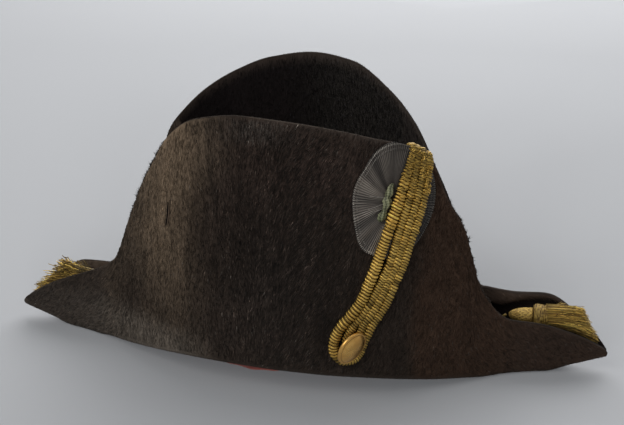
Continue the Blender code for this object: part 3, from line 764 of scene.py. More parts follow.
def nap_piece(name, count, w_range, inner, seed, length=(2.6, 4.8), width=(0.26, 0.44), lift=(0.2, 0.75),
              x_range=(-221, 221), keep=None, tone_gain=1.0, pale=None):
    """fibres scattered evenly over a stretch of the felt, lying along its nap"""
    rng = np.random.default_rng(seed)
    xs, ws, have = [], [], 0
    while have < count:
        x = rng.uniform(*x_range, count * 2)
        w = rng.uniform(*w_range, count * 2)
        area, _, _ = area_at(x, w)
        ok = rng.random(len(x)) < area / 420.0 * 1.0
        if keep is not None:
            ok &= rng.random(len(x)) < keep(x, w)
        xs.append(x[ok])
        ws.append(w[ok])
        have += int(ok.sum())
    x, w = np.concatenate(xs)[:count], np.concatenate(ws)[:count]
    m = len(x)
    _, lx, lw = area_at(x, w)
    slope = nap_slant(x, w) + rng.normal(0, 0.16, m) + 0.5 * (noise(x / 9, np.abs(w) * 20, seed + 1) - 0.5)
    size = rng.uniform(*length, m)
    down = 1 / np.sqrt(1 + slope ** 2)
    dw = -np.sign(w) * size * down / lw
    dx = size * slope * down / lx
    x2 = np.clip(x + dx, -224.0, 224.0)
    w2 = np.clip(w + dw, -0.999, 0.999)
    base = -(FELT + roll(x, w)) if inner else np.zeros(m)
    base2 = -(FELT + roll(x2, w2)) if inner else np.zeros(m)
    sgn = -1.0 if inner else 1.0
    high = rng.uniform(*lift, m)
    n1, n2 = normal(x, w), normal(x2, w2)
    root = outer(x, w, base - sgn * 0.12)
    tip = outer(x2, w2, base2 + sgn * high)
    root[:, 2], tip[:, 2] = np.maximum(root[:, 2], 0.05), np.maximum(tip[:, 2], 0.10)
    side = unit(np.cross(n1, tip - root))
    tint, dust = felt_tone(x, w, inner=inner)
    clump = noise(x / 1.8, np.abs(w) * 26, seed + 2) + 0.35 * noise(x / 6.0, np.abs(w) * 16, seed + 3)
    lively = 1.2 if inner else np.where(w < 0, 1.25 + 1.2 * hump(x, -2, 52) + 0.5 * smooth((-x - 105) / 25) - 0.62 * smooth((x - 58) / 34), 1.2)
    tone = np.exp(lively * (0.70 * (clump - 0.675) + rng.normal(0, 0.30, m)) - 0.055 * lively ** 2 + 0.04) * tone_gain
    dark = noise(x / 1.5, np.abs(w) * 34, seed + 4) > 0.82
    tone = np.where(dark, tone * 0.5, tone)
    grey = (rng.random(m) < dust * 0.40)[:, None]
    tint = np.where(grey, (lin(78, 74, 78) if inner else lin(104, 97, 90)) * rng.uniform(0.30, 0.8, m)[:, None], tint)
    if pale is not None:
        tint = lin(*pale) * rng.uniform(0.5, 1.3, m)[:, None]
    me = spikes(name, root, tip, side, n1 * sgn, rng.uniform(*width, m), tint, tone,
                (x, np.abs(w) * 170.0, np.full(m, 2.0 + inner)))
    return piece(name, me, HAIR, slot="plush_felt")


nap_piece("nap_near", 48500, (-0.998, -0.40), False, 101, length=(2.3, 4.4), width=(0.24, 0.42))
# paler strokes where the nap in the middle of the near fan lies over and catches the light
nap_piece("nap_strokes", 9000, (-0.985, -0.47), False, 105, length=(2.6, 5.6), width=(0.28, 0.48), lift=(0.35, 0.85), x_range=(-50, 105),
          keep=lambda x, w: hump(x, 18, 34) * (0.35 + 0.65 * hump(up_wall(w), 0.5, 0.35)), pale=(54, 46, 41))
nap_piece("nap_far_outside", 17000, (0.40, 0.998), False, 102, length=(3.2, 5.6), width=(0.42, 0.72))
nap_piece("nap_far_inside", 15000, (0.46, 0.996), True, 103, length=(2.2, 4.2), lift=(0.12, 0.5), width=(0.24, 0.42),
          keep=lambda x, w: np.clip(0.25 + 0.75 * smooth((up_wall(w) - 0.25) / 0.3), 0, 1))
nap_piece("nap_near_inside", 4000, (-0.996, -0.46), True, 104, length=(2.2, 4.2), lift=(0.12, 0.5), width=(0.24, 0.42),
          keep=lambda x, w: smooth((up_wall(w) - 0.3) / 0.4))


# ---------------------------------------------------------------- crown and lining
def dome(inset, foot, sag, top, around, rows, ripple=None):
    """oval dome over the head opening, its rim following the arch of the underside"""
    hs, wd = [r[0] for r in CROWN], [r[1] for r in CROWN]
    k = np.linspace(0, len(CROWN) - 1, rows)
    h = curve_at(np.arange(len(CROWN)), hs, k)[:, None]
    width = curve_at(np.arange(len(CROWN)), wd, k)[:, None]
    t = np.linspace(0, 2 * pi, around, endpoint=False)[None, :]
    a, b = OPENING_A - inset, OPENING_B - inset
    rim = column(FLOOR, 2, 3, a * np.cos(t)) + foot - (sag(t) if sag else 0)
    z = rim + (top + FLOOR[0][2] - rim) * h
    r = 1.0 if ripple is None else 1 + ripple(t, h)
    pts = np.stack([a * np.cos(t) * width * r, b * np.sin(t) * width * r, z * np.ones_like(width)], -1)
    return pts, h * np.ones_like(t), t * np.ones_like(h), np.array([0, 0, FLOOR[0][2] + top])


def shell(name, outside, inside, tops):
    """closed dome between an outside and an inside grid"""
    rows, cols = outside.shape[:2]
    pts = np.concatenate([outside.reshape(-1, 3), inside.reshape(-1, 3), np.array(tops)])
    n = rows * cols
    f = [grid_faces(rows, cols, True), grid_faces(rows, cols, True, n, flip=True)]
    j = np.arange(cols)
    k = (j + 1) % cols
    f.append(np.stack([n + j, n + k, k, j], -1))
    q = (rows - 1) * cols
    caps = np.concatenate([np.stack([q + j, q + k, np.full(cols, 2 * n)], -1),
                           np.stack([n + q + k, n + q + j, np.full(cols, 2 * n + 1)], -1)])
    return facing_out(mesh_of(name, pts, [np.concatenate(f), caps]))


def crown_ripple(t, h):
    """uneven wall, which meets the brim all round at its foot"""
    uneven = 0.010 * (noise(4 * np.cos(t) + 9, 4 * np.sin(t) + 3 * h + 9, 41) - 0.5) + 0.004 * np.sin(5 * t + 7 * h)
    foot = 1 - smooth(h / 0.08)
    return uneven * (1 - foot) + 0.006 * foot


o, h, t, top_o = dome(GAP, 0.0, None, CROWN_HEIGHT, 120, 40, crown_ripple)
i, _, _, top_i = dome(GAP + FELT, 0.0, None, CROWN_HEIGHT - FELT, 120, 40, crown_ripple)
me = shell("crown_felt", o, i, [top_o, top_i])
n_side = o.shape[0] * o.shape[1]
tone = lin(31, 25, 21) * GAIN * (0.85 + 0.4 * noise(3 * np.cos(t) + 5, 3 * np.sin(t) + 5 + 2 * h, 42)).reshape(-1, 1)
put(me, "tint", np.concatenate([tone, tone * 0.8, tone[:2]]))
put(me, "dust", np.concatenate([(0.10 + 0.5 * smooth((h - 0.8) / 0.2)).ravel(), np.zeros(n_side), [0.6, 0]]))
put(me, "nap_u", np.concatenate([(t * 86).ravel()] * 2 + [[0, 0]]))
put(me, "nap_v", np.concatenate([(h * 112).ravel()] * 2 + [[112, 112]]))
put(me, "nap_s", np.concatenate([np.full(n_side, 11.0), np.full(n_side, 13.0), [11, 13]]))
CROWN_MAT = plush("crown_felt")
piece("crown_felt", me, CROWN_MAT, "crown", slot="crown_felt")

rng = np.random.default_rng(44)
m = 4500
tt, kk = rng.uniform(0, 2 * pi, m), rng.uniform(0.15, 1, m) ** 0.75
flat_o = o.reshape(o.shape[0], o.shape[1], 3)


def on_dome(grid, t, k):
    """point of a dome grid at angle t and share k of its rows, by mixing the nearest four"""
    r = np.clip(k, 0, 0.9999) * (grid.shape[0] - 1)
    c = (t / (2 * pi) * grid.shape[1]) % grid.shape[1]
    r0, c0 = np.floor(r).astype(int), np.floor(c).astype(int)
    fr, fc = (r - r0)[:, None], (c - c0)[:, None]
    c1 = (c0 + 1) % grid.shape[1]
    r1 = np.minimum(r0 + 1, grid.shape[0] - 1)
    c0 = c0 % grid.shape[1]
    return ((grid[r0, c0] * (1 - fc) + grid[r0, c1] * fc) * (1 - fr) + (grid[r1, c0] * (1 - fc) + grid[r1, c1] * fc) * fr)


root = on_dome(o, tt, kk)
swirl = 0.035 + 0.02 * rng.normal(0, 1, m)
tip = on_dome(o, tt + swirl, kk - rng.uniform(0.02, 0.05, m))
centre = np.array([0, 0, 55.0])
out = unit((root - centre) * (1 / OPENING_A ** 2, 1 / OPENING_B ** 2, 1 / 75.0 ** 2))
tip = root + unit(tip - root) * rng.uniform(3, 5.5, m)[:, None] + out * rng.uniform(0.1, 0.5, m)[:, None]
side = unit(np.cross(out, tip - root))
me = spikes("nap_crown", root - out * 0.1, tip, side, out, rng.uniform(0.35, 0.6, m),
            np.tile(lin(34, 28, 24) * GAIN, (m, 1)), np.exp(rng.normal(0, 0.3, m)),
            (tt * 86, kk * 112, np.full(m, 11.0)))
piece("nap_crown", me, HAIR, slot="crown_felt")


def droop(t):
    """the lining hangs below the rim on the near side, behind the middle"""
    a = (t - (pi * 1.5 - 0.25)) / 0.30
    return 6.9 * np.maximum(0.0, 1 - a * a) ** 0.32 * (0.93 + 0.07 * np.sin(a * 9))


def gathers(t, h):
    """soft upright folds, drawn together under the top"""
    g = 0.5 * np.sin(34 * t + 1.5 * np.sin(3 * t)) + 0.3 * np.sin(71 * t + 2)
    return g * (0.0018 + 0.012 * smooth((h - 0.55) / 0.45)) * smooth(h / 0.05 + 0.1)


o2, h2, t2, a2 = dome(GAP + FELT + GAP, 0.3, droop, CROWN_HEIGHT - FELT - GAP, 180, 34, gathers)
i2, _, _, b2 = dome(GAP + FELT + GAP + LINING, 0.3, droop, CROWN_HEIGHT - FELT - GAP - LINING, 180, 34, gathers)
me = shell("red_lining", o2, i2, [a2, b2])
n_side = o2.shape[0] * o2.shape[1]
put(me, "weft", np.concatenate([(t2 * 84).ravel()] * 2 + [[0, 0]]))
put(me, "warp", np.concatenate([(h2 * 112).ravel()] * 2 + [[112, 112]]))
m = Nodes("red_lining")
u, v = m.attr("weft"), m.attr("warp")
weave = m.math("MULTIPLY", m.node("Math", {0: m.math("MULTIPLY", u, 12.0)}, operation="SINE").outputs[0],
               m.node("Math", {0: m.math("MULTIPLY", v, 12.0)}, operation="SINE").outputs[0])
stain = m.noise(m.vec(m.math("MULTIPLY", u, 0.05), m.math("MULTIPLY", v, 0.05)), 1.0, 5.0, 0.6)
col = m.mix(m.ramp(stain, 0.35, 0.72), tuple(lin(212, 90, 62)), tuple(lin(172, 60, 42)))
col = m.mix(m.ramp(weave, -1, 1, 0.0, 0.22), col, tuple(lin(92, 26, 18)))
# the lining is laid darker everywhere above the lowest 1.6 mm of its height
darker_above_edge = m.ramp(v, 0.3, 1.6, 0.0, 0.45)
col = m.mix(darker_above_edge, col, tuple(lin(96, 38, 26)))
m.set(Base_Color=col, Roughness=m.ramp(stain, 0.3, 0.7, 0.42, 0.6), Normal=m.bump(weave, 0.35, 0.12))
m.shader.inputs["Sheen Weight"].default_value = 0.25
m.shader.inputs["Specular IOR Level"].default_value = 0.35
piece("red_lining", me, m.mat, "lining", slot="red_lining")


# ---------------------------------------------------------------- ragged edges
def edge_tufts():
    """worn wisps along the steep ends of the near fan and here and there along both rims"""
    rng = np.random.default_rng(61)
    roots, tips, sides, outs, widths, tints, tones, us = [], [], [], [], [], [], [], []

    def wisp(x, sign, count, size, spread, tone):
        w = sign * 1.0
        e = felt(x, w)
        lower = felt(x, sign * 0.985)
        out = unit(e - lower)
        t = unit(felt(x + 0.7, w) - felt(x - 0.7, w))
        n = normal(x, w)
        for _ in range(count):
            d = unit(out + t * rng.normal(0, 0.55) + n * rng.normal(0, 0.35) - Z3 * rng.uniform(0, 0.5))
            r = e + t * rng.uniform(-spread, spread) - n * rng.uniform(0.2, FELT - 0.2) - out * 0.5
            roots.append(r)
            tips.append(r + d * (size * rng.uniform(0.6, 1.2) + 0.5))
            sides.append(unit(np.cross(n, d)))
            outs.append(n)
            widths.append(rng.uniform(0.3, 0.6))
            tints.append(tone)
            tones.append(rng.uniform(0.6, 1.4))
            us.append(x)

    dark, pale = lin(46, 38, 32) * 1.0, lin(84, 75, 66) * 0.9
    for x in (-91.5, -93.0, -97.5, -98.5, -103.0, -104.5, -110.0, -112.5, -116.0, 104.0, 109.5, 117.0, 123.0, 129.5):
        wisp(x, -1, 24, rng.uniform(2.2, 3.3), 1.0, dark)
    for _ in range(130):
        wisp(rng.uniform(-121, -84), -1, rng.integers(6, 15), rng.uniform(0.8, 2.3), rng.uniform(0.3, 1.1), dark)
    for _ in range(110):
        wisp(rng.uniform(98, 140), -1, rng.integers(5, 12), rng.uniform(0.6, 1.7), rng.uniform(0.3, 1.0), dark)
    for _ in range(500):
        wisp(rng.uniform(-215, 215), -1, 3, rng.uniform(0.2, 0.6), 1.2, dark if rng.random() < 0.94 else pale)
    for _ in range(500):
        wisp(rng.uniform(-215, 215), 1, 3, rng.uniform(0.1, 0.35), 1.2, dark)
    k = len(roots)
    a = [np.array(q) for q in (roots, tips, sides, outs, widths, tints, tones, us)]
    me = spikes("edge_wisps", *a[:7], (a[7], np.zeros(k), np.full(k, 5.0)))
    return piece("edge_wisps", me, HAIR, slot="plush_felt")


edge_tufts()


def slit_mesh():
    """a short upright cut in the felt: a near-black strip laid in it as painted shade, with a raised lip in front of it
    """
    heap = Heap()
    z = np.linspace(109.5, 126.5, 26)
    q = np.linspace(0, 1, 26)
    # the first strip is near black, painted shade in the cut; the second is the lip
    for shift, lift, wide, thick, tone in ((0.0, 0.45, 0.80, 0.45, 0.03), (1.2, 0.40, 0.45, 0.50, 1.05)):
        path, n = near_wall(-80.0 + shift + 2.6 * q + 0.5 * np.sin(q * 4), z, np.full(26, lift))
        grow = np.sqrt(np.clip(1 - (2 * q - 1) ** 2, 0.01, 1))
        a = np.linspace(0, 2 * pi, 8, endpoint=False)
        r = grow[:, None] / np.sqrt((np.cos(a) / wide) ** 2 + (np.sin(a) / thick) ** 2)[None, :]
        p, tris, quads = sweep(path, r, n, 8)
        heap.add(p, tris, quads, tint=lin(70, 58, 48) * GAIN, tone=tone, nap_u=-79.0, nap_v=np.linspace(0, 15, len(p)), nap_s=6.0)
    return facing_out(heap.mesh("felt_slit"))


piece("felt_slit", slit_mesh(), HAIR, slot="plush_felt")


# ---------------------------------------------------------------- bullion loops
def strand_x(k, z):
    rows = STRANDS[::-1]
    return float(curve_at([r[0] for r in rows], [r[1 + k] for r in rows], z))


def strand_run(k, wide, thick, steps=22):
    """points, outward ways, half widths and half thicknesses of strand k, from inside the fan, over its edge and down"""
    ze = STRANDS[0][0]
    for _ in range(6):
        x = strand_x(k, ze)
        ze = min(float(section(np.array([x]), True)[1][0]), STRANDS[0][0])
    rim, n = near_wall(x, ze, 0.0)
    flat = unit(np.array([n[0], n[1], 0.0]))
    ew, et = STRAND_EDGE
    #            out from the felt's face, up from its edge
    over_edge = [(-FELT - 1.5, -13.0), (-FELT - 1.4, -6.0), (-FELT - 1.3, -1.2), (-2.6, 0.85), (-1.0, 1.35), (0.9, 1.05), (2.6, -0.7)]
    run = []
    for i, (q, h) in enumerate(over_edge):
        way = unit(-flat * 0.9 + Z3 * 0.4 * i / 3) if i < 4 else unit(flat * (i - 4) * 0.5 + Z3)
        run.append((rim + flat * q + Z3 * h, way, ew, et))
    low, first = STRANDS[-1][0], ze - 4.0
    for z in np.linspace(first, low, steps):
        f = min(1.0, max(0.0, (first - z) / 30.0))
        a, b = ew + (wide - ew) * f, et + (thick - et) * f
        over = min(1.0, max(0.0, (z - 84.0) / 12.0))
        p, n = near_wall(strand_x(k, z), z, b + 0.30 + over * (COCKADE["lift"] + COCKADE["thick"] - 0.5))
        run.append((p, n, a, b))
    return run


def turn(rows):
    return [(*near_wall(x, z, lift), r * 1.10, r * 0.94) for x, z, lift, r in rows]


PITCH_REAR, PITCH_OTHER = 2.15, 1.88


def bullion(heap, run, sides=16, per_turn=9, seed=1):
    """a strand of coiled wire, a little flattened: its surface swells at each turn of the coil"""
    pts, ups, wide, thick = [np.array([r[i] for r in run]) for i in range(4)]
    path, s, ref, aw, bt = resample(pts, 0.20, ups, wide, thick)
    rng = np.random.default_rng(seed)
    # turns are not all alike: their spacing and size drift, and some sit proud
    pitch = PITCH_OTHER + (PITCH_REAR - PITCH_OTHER) * smooth((aw - 2.5) / 0.8)
    turns = np.concatenate([[0], np.cumsum(np.diff(s) / ((pitch[1:] + pitch[:-1]) / 2))])
    drift = 0.25 * np.sin(s / 17.0 + seed) + 0.22 * np.sin(s / 5.3 + 2 * seed) + 0.10 * np.sin(s / 2.1 + 3 * seed)
    a = np.linspace(0, 2 * pi, sides, endpoint=False)[None, :]
    phase = turns[:, None] + drift[:, None] + a / (2 * pi) + 0.16 * np.abs(np.cos(a)) + 0.05 * np.cos(3 * a + s[:, None] / 9)
    index = np.floor(phase).astype(int)
    t = phase - index
    ridge = np.clip(1 - (2 * t - 1) ** 2, 0, 1) ** 0.75
    ends = np.minimum(s, s[-1] - s)[:, None]
    top = smooth((56.0 - ends) / 26.0)
    size = rng.normal(0, 1, 4096)[index % 4096]
    proud = size * (0.050 + 0.055 * top)
    filled = smooth((2.9 - aw) / 0.3)[:, None]
    # across the flattened strand
    shape = ((np.abs(np.cos(a)) / aw[:, None]) ** 2.3 + (np.abs(np.sin(a)) / bt[:, None]) ** 2.3) ** (-1 / 2.3)
    side_tooth = (0.13 + 0.09 * filled) * np.abs(np.cos(a)) ** 3
    radius = shape * (0.69 + 0.08 * filled + (0.34 - 0.06 * filled + side_tooth) * ridge + proud)
    p, tris, quads = sweep(path, radius, ref, sides)
    wind = np.concatenate([(s[:, None] + 0 * a).ravel(), s[:1], s[-1:]])
    # dark in the hollows between the coil's turns and bright on their tops: painted shade in the grooves
    groove = np.concatenate([(ridge * (1 - 0.50 * top) + 0.24 * top).ravel(), [0.5, 0.5]])
    arc = np.concatenate([(a * aw[:, None]).ravel(), [0, 0]])
    low = smooth((98.0 - path[:, 2:3]) / 40.0)
    # the rear strand is laid paler and the other three darker: painted highlight on the rear strand and painted shade
    # between the others; the turns also darken near the ends of the run and lower down
    tone = np.concatenate([((0.82 + 0.30 * smooth((aw[:, None] - 2.7) / 0.4) + 0.20 * size) * (1 - 0.24 * top) * (1 - 0.30 * low) + 0 * a).ravel(), [1, 1]])
    heap.add(p, tris, quads, ridge=groove, wind_s=wind, wind_a=arc, tone=tone)
    return path, ref, aw, bt


def gold(name, light, deep, metallic, rough, lo=0.25, hi=0.95, fine=True):
    m = Nodes(name)
    ridge, tone = m.attr("ridge"), m.attr("tone")
    s, a = m.attr("wind_s"), m.attr("wind_a")
    place = m.node("TexCoord").outputs["Object"]
    age = m.noise(m.scaled(place, (1000, 1000, 1000)), 0.09, 4.0, 0.6)
    speck = m.noise(m.scaled(place, (1000, 1000, 1000)), 1.1, 2.0, 0.6)
    # the ridge value runs from the dark brown to the bright gold; where it follows the relief, the hollows get painted
    # shade, and on the fringe threads it is a random tone
    col = m.mix(m.ramp(ridge, lo, hi), deep, light)
    col = m.mix(m.ramp(age, 0.42, 0.75, 0.0, 0.50), col, m.mix(1.0, col, (0.66, 0.54, 0.40), "MULTIPLY"))
    col = m.mix(m.ramp(speck, 0.62, 0.78, 0.0, 0.5), col, tuple(np.array(deep) * 0.8))
    col = m.mix(1.0, col, m.grey(m.ramp(tone, 0.0, 2.0, 0.0, 2.0)), "MULTIPLY")
    # the wire is itself a fine twist
    twist = m.node("Math", {0: m.math("ADD", m.math("MULTIPLY", a, 13.0), m.math("MULTIPLY", s, 3.4))}, operation="SINE").outputs[0]
    m.set(Base_Color=col, Metallic=m.ramp(ridge, 0.0, 0.7, metallic * 0.55, metallic),
          Roughness=m.ramp(m.math("ADD", age, m.math("MULTIPLY", speck, 0.4)), 0.45, 0.95, rough, rough + 0.22),
          Normal=m.bump(m.math("ADD", m.math("MULTIPLY", twist, 0.5), speck), 0.55 if fine else 0.3, 0.14))
    m.shader.inputs["Specular IOR Level"].default_value = 0.5
    return m.mat


BULLION = gold("gold_bullion", tuple(lin(236, 196, 102)), tuple(lin(58, 33, 9)), 0.88, 0.22, 0.26, 0.92)
THREAD = gold("gold_thread", tuple(lin(216, 184, 98)), tuple(lin(84, 58, 22)), 0.55, 0.40)

heap = Heap()
outer_strand = bullion(heap, strand_run(0, *STRAND_REAR) + turn(OUTER_TURN) + strand_run(3, *STRAND_OTHER)[::-1], seed=1)
piece("bullion_outer", heap.mesh("bullion_outer"), BULLION, "outer_loop", slot="gold_bullion")
heap = Heap()
inner_strand = bullion(heap, strand_run(1, *STRAND_OTHER) + turn(INNER_TURN) + strand_run(2, *STRAND_OTHER)[::-1], seed=2)
piece("bullion_inner", heap.mesh("bullion_inner"), BULLION, "inner_loop", slot="gold_bullion")


def curl(heap, at, axis, out, radius, turns, wire, rise, tone, rng):
    """a sprung turn of the coil"""
    side = unit(np.cross(out, axis))
    n = max(int(turns * 12), 8)
    f = np.linspace(0, turns * 2 * pi, n) + rng.uniform(0, 2 * pi)
    grow = 1 + 0.15 * np.sin(f * 0.7)
    path = at + (radius * grow * np.cos(f))[:, None] * side + (radius * grow * np.sin(f))[:, None] * out + (rise * f / (2 * pi))[:, None] * axis
    p, tris, quads = sweep(path, np.full(n, wire), unit(out + 0.3 * axis + 0.2 * side), 5)
    heap.add(p, tris, quads, ridge=0.9, wind_s=np.linspace(0, 9, len(p)), wind_a=np.linspace(0, 3, len(p)), tone=tone)


heap = Heap()
rng = np.random.default_rng(71)
for path, ref, aw, bt in (outer_strand, inner_strand):
    n = len(path)
    tang = unit(np.gradient(path, axis=0))
    for end in (0, 1):
        for _ in range(38):
            # sprung turns, most of them near the fan's edge
            d = rng.uniform(19.0, 46.0) if rng.random() < 0.75 else rng.uniform(46, 80)
            i = int(d / 0.20)
            i = i if end == 0 else n - 1 - i
            side = unit(np.cross(ref[i], tang[i]))
            q = rng.uniform(-0.85, 0.85)
            at = path[i] + side * q * aw[i] + ref[i] * bt[i] * (1 - abs(q)) * rng.uniform(0.3, 0.7)
            out = unit(ref[i] + 0.8 * q * side)
            curl(heap, at, unit(tang[i] + rng.normal(0, 0.35, 3)), out, bt[i] * rng.uniform(0.55, 0.85),
                 rng.uniform(0.8, 2.1), rng.uniform(0.24, 0.36), rng.uniform(0.7, 1.8), rng.uniform(0.55, 1.05), rng)
piece("bullion_curls", heap.mesh("bullion_curls"), BULLION, slot="gold_bullion")


# ---------------------------------------------------------------- cockade
def cockade_rim(t):
    """how far the ribbon's rim lies from its middle, as a part of its half sizes"""
    bulge = 0.15 * hump((t + pi) % (2 * pi) - pi, 3.95 - 2 * pi, 0.27)
    return 1.012 + 0.55 * bulge - 0.075 * hump(t, 2.45, 0.33) + 0.02 * hump(t, 3.0, 0.22) + 0.006 * np.sin(5 * t + 2)


def cockade_at(t, k, lift):
    """point of the ribbon at angle t and share k of the way out to its rim"""
    r = cockade_rim(t) * k
    return near_wall(COCKADE["x"] + COCKADE["half_x"] * np.cos(t) * r, COCKADE["z"] + COCKADE["half_z"] * np.sin(t) * r, lift)


def cockade_mesh(rings=26, around=600, under_rings=3):
    """gathered ribbon: fine pleats from the knot out to a stitched rim"""
    c = COCKADE
    t = np.linspace(0, 2 * pi, around, endpoint=False)
    k = np.linspace(0.04, 1.0, rings)[:, None]
    # pleats wander a little and gather in bunches at the knot
    phase = 118 * t + 1.3 * np.sin(3 * t + 1) + 0.9 * np.sin(7 * t)
    deep = 0.55 + 0.45 * noise(t * 7 + 3, t * 0, 86)[None, :]
    fold = 0.5 + 0.5 * np.sin(phase)[None, :] * deep * np.ones_like(k)
    bunch = noise(t * 4.2 + 1.5, t * 0 + 4, 87)[None, :] * 0.6 + 0.4 * (0.5 + 0.5 * np.sin(13 * t + 0.8 + 2 * k))
    height = 0.55 * fold * smooth(k / 0.3) + 1.25 * bunch * (1 - k) ** 1.2 * smooth(k / 0.15)
    height = height + 0.35 * noise(t[None, :] * 3.0 + 2, k * 3.0, 88)
    crumple = hump(t, 4.0, 0.34)[None, :] * hump(k, 0.80, 0.22)
    height = height + crumple * (0.8 + 0.8 * np.sin(17 * t)[None, :] + 0.6 * np.sin(11 * k + 5 * t[None, :]))
    tt = t[None, :] * np.ones_like(k)
    top, _ = cockade_at(tt, k * np.ones_like(tt), c["lift"] + 0.45 + np.clip(height, 0, 2.6))
    ku = np.linspace(0.04, 1.0, under_rings)[:, None] * np.ones((1, around))
    tu = t[None, :] * np.ones_like(ku)
    under, _ = cockade_at(tu, ku, np.full(ku.shape, c["lift"] - 0.3))
    under[-1] = cockade_at(t, np.ones(around), np.full(around, c["lift"] + 0.05))[0]
    mid = [near_wall(c["x"], c["z"], c["lift"] + 1.2)[0], near_wall(c["x"], c["z"], c["lift"] - 0.3)[0]]
    pts = np.concatenate([top.reshape(-1, 3), under.reshape(-1, 3), np.array(mid)])
    n, e = rings * around, (rings + under_rings) * around
    j = np.arange(around)
    q = (j + 1) % around
    a, b = (rings - 1) * around, n + (under_rings - 1) * around
    f = [grid_faces(rings, around, True), grid_faces(under_rings, around, True, n, flip=True),
         np.stack([b + q, b + j, a + j, a + q], -1)[:, ::-1]]
    caps = np.concatenate([np.stack([q, j, np.full(around, e)], -1), np.stack([n + j, n + q, np.full(around, e + 1)], -1)])
    me = mesh_of("cockade_ribbon", pts, [np.concatenate(f), caps])
    put(me, "fold", np.concatenate([fold.ravel(), np.zeros(under_rings * around + 2)]))
    sector = noise(t * 3.1 + 2.2, t * 0 + 1, 89)[None, :] + 0.10 * np.sin(4 * k + 9 * t)
    put(me, "sector", np.concatenate([(sector * np.ones_like(k)).ravel(), np.full(under_rings * around + 2, 0.5)]))
    put(me, "beyond", np.concatenate([smooth((np.cos(tt) * k - 0.30) / 0.3).ravel(), np.zeros(under_rings * around + 2)]))
    put(me, "bunch", np.concatenate([bunch.ravel(), np.zeros(under_rings * around + 2)]))
    put(me, "reach", np.concatenate([(k * np.ones(around)).ravel(), ku.ravel(), [0, 0]]))
    put(me, "turn_a", np.concatenate([tt.ravel(), tu.ravel(), [0, 0]]))
    return facing_out(me)


m = Nodes("black_ribbon")
fold, reach, ang, bunch = m.attr("fold"), m.attr("reach"), m.attr("turn_a"), m.attr("bunch")
rib = m.node("Math", {0: m.math("MULTIPLY", reach, 330.0)}, operation="SINE").outputs[0]
fade = m.noise(m.scaled(m.node("TexCoord").outputs["Object"], (1000, 1000, 1000)), 0.14, 4.0, 0.6)
weave = m.noise(m.vec(m.math("MULTIPLY", ang, 60.0), m.math("MULTIPLY", reach, 7.0)), 1.0, 2.0, 0.6)
# painted light and shade: the pleat valleys are laid dark and the pleat crests pale, as painted highlight
col = m.mix(m.ramp(fold, 0.15, 0.80), tuple(lin(34, 31, 28)), tuple(lin(118, 111, 102)))
col = m.mix(m.ramp(fold, 0.80, 0.99, 0.0, 0.85), col, tuple(lin(206, 197, 184)))
# painted light and shade of broad folds: sectors of the ribbon are laid darker and paler
col = m.mix(1.0, col, m.grey(m.ramp(m.attr("sector"), 0.2, 0.8, 0.54, 1.95)), "MULTIPLY")
col = m.mix(m.ramp(weave, 0.35, 0.75, 0.0, 0.45), col, tuple(lin(104, 94, 88)))
# painted shadow around the knot: darker between the gathered bunches and towards the middle
col = m.mix(m.ramp(bunch, 0.60, 0.25, 0.0, 0.66), col, tuple(lin(30, 26, 25)))
col = m.mix(m.ramp(reach, 0.50, 0.14, 0.0, 0.50), col, tuple(lin(40, 34, 32)))
col = m.mix(m.ramp(fade, 0.35, 0.7, 0.0, 0.5), col, m.mix(1.0, col, (0.66, 0.60, 0.56), "MULTIPLY"))
col = m.mix(m.ramp(rib, 0.2, 1.0, 0.0, 0.18), col, tuple(lin(110, 100, 93)))
# painted shade: the right part of the ribbon, beside and under the strands, is laid much darker
col = m.mix(m.ramp(m.attr("beyond"), 0.0, 1.0, 0.0, 0.66), col, tuple(lin(26, 22, 21)))
m.set(Base_Color=col, Roughness=m.ramp(fold, 0.0, 1.0, 0.66, 0.48),
      Normal=m.bump(m.math("ADD", m.math("MULTIPLY", rib, 0.3), weave), 0.4, 0.15))
for k, v in {"Sheen Weight": 0.12, "Sheen Roughness": 0.35, "Specular IOR Level": 0.30}.items():
    m.shader.inputs[k].default_value = v
RIBBON = m.mat
piece("cockade_ribbon", cockade_mesh(), RIBBON, "cockade", slot="black_ribbon")

# two rows of stitches round its rim
heap = Heap()
rng = np.random.default_rng(83)
for row, share in ((0, 0.985), (1, 0.905)):
    for i in range(170 - 20 * row):
        a = 2 * pi * (i + 0.5 * row) / (170 - 20 * row)
        # the strands hide the rim's right side, where it is flat; the stitches there are laid darker as painted shade
        lift = COCKADE["lift"] + 1.40
        p0, nn = cockade_at(a, share, lift)
        p1, _ = cockade_at(a + 0.010, share - 0.042, lift)
        path = np.array([p0 + (p1 - p0) * q + nn * 0.35 * sin(pi * q) for q in np.linspace(0, 1, 5)])
        p, tris, quads = sweep(path, np.array([0.09, 0.18, 0.21, 0.18, 0.09]), nn, 4)
        left = 0.25 + 0.75 * float(smooth((-cos(a) + 0.15) / 0.5))
        heap.add(p, tris, quads, shade=rng.uniform(0.55, 1.1) * left * (0.45 if row else 1.0))
# loose pale threads that run to the knot
for ends in (((58.5, 133.0), (62.5, 134.6), (68.5, 137.0)), ((60.5, 130.8), (64.0, 132.2), (68.0, 134.0)), ((59.0, 141.5), (64.0, 141.0), (69.5, 140.5))):
    e = np.array(ends)
    q = np.linspace(0, 2, 14)
    x, z = np.interp(q, [0, 1, 2], e[:, 0]), np.interp(q, [0, 1, 2], e[:, 1])
    path, nn = near_wall(x, z, COCKADE["lift"] + 1.5 + 0.25 * q)
    p, tris, quads = sweep(path, np.full(14, 0.13), nn, 5)
    heap.add(p, tris, quads, shade=0.62)
m = Nodes("pale_stitch")
col = m.mix(m.attr("shade"), tuple(lin(52, 46, 43)), tuple(lin(206, 198, 186)))
dirt = m.noise(m.scaled(m.node("TexCoord").outputs["Object"], (1000, 1000, 1000)), 0.8, 2.0)
m.set(Base_Color=m.mix(m.ramp(dirt, 0.4, 0.7, 0.0, 0.5), col, tuple(lin(80, 76, 72))), Roughness=0.6)
piece("cockade_stitches", heap.mesh("cockade_stitches"), m.mat, slot="black_ribbon")


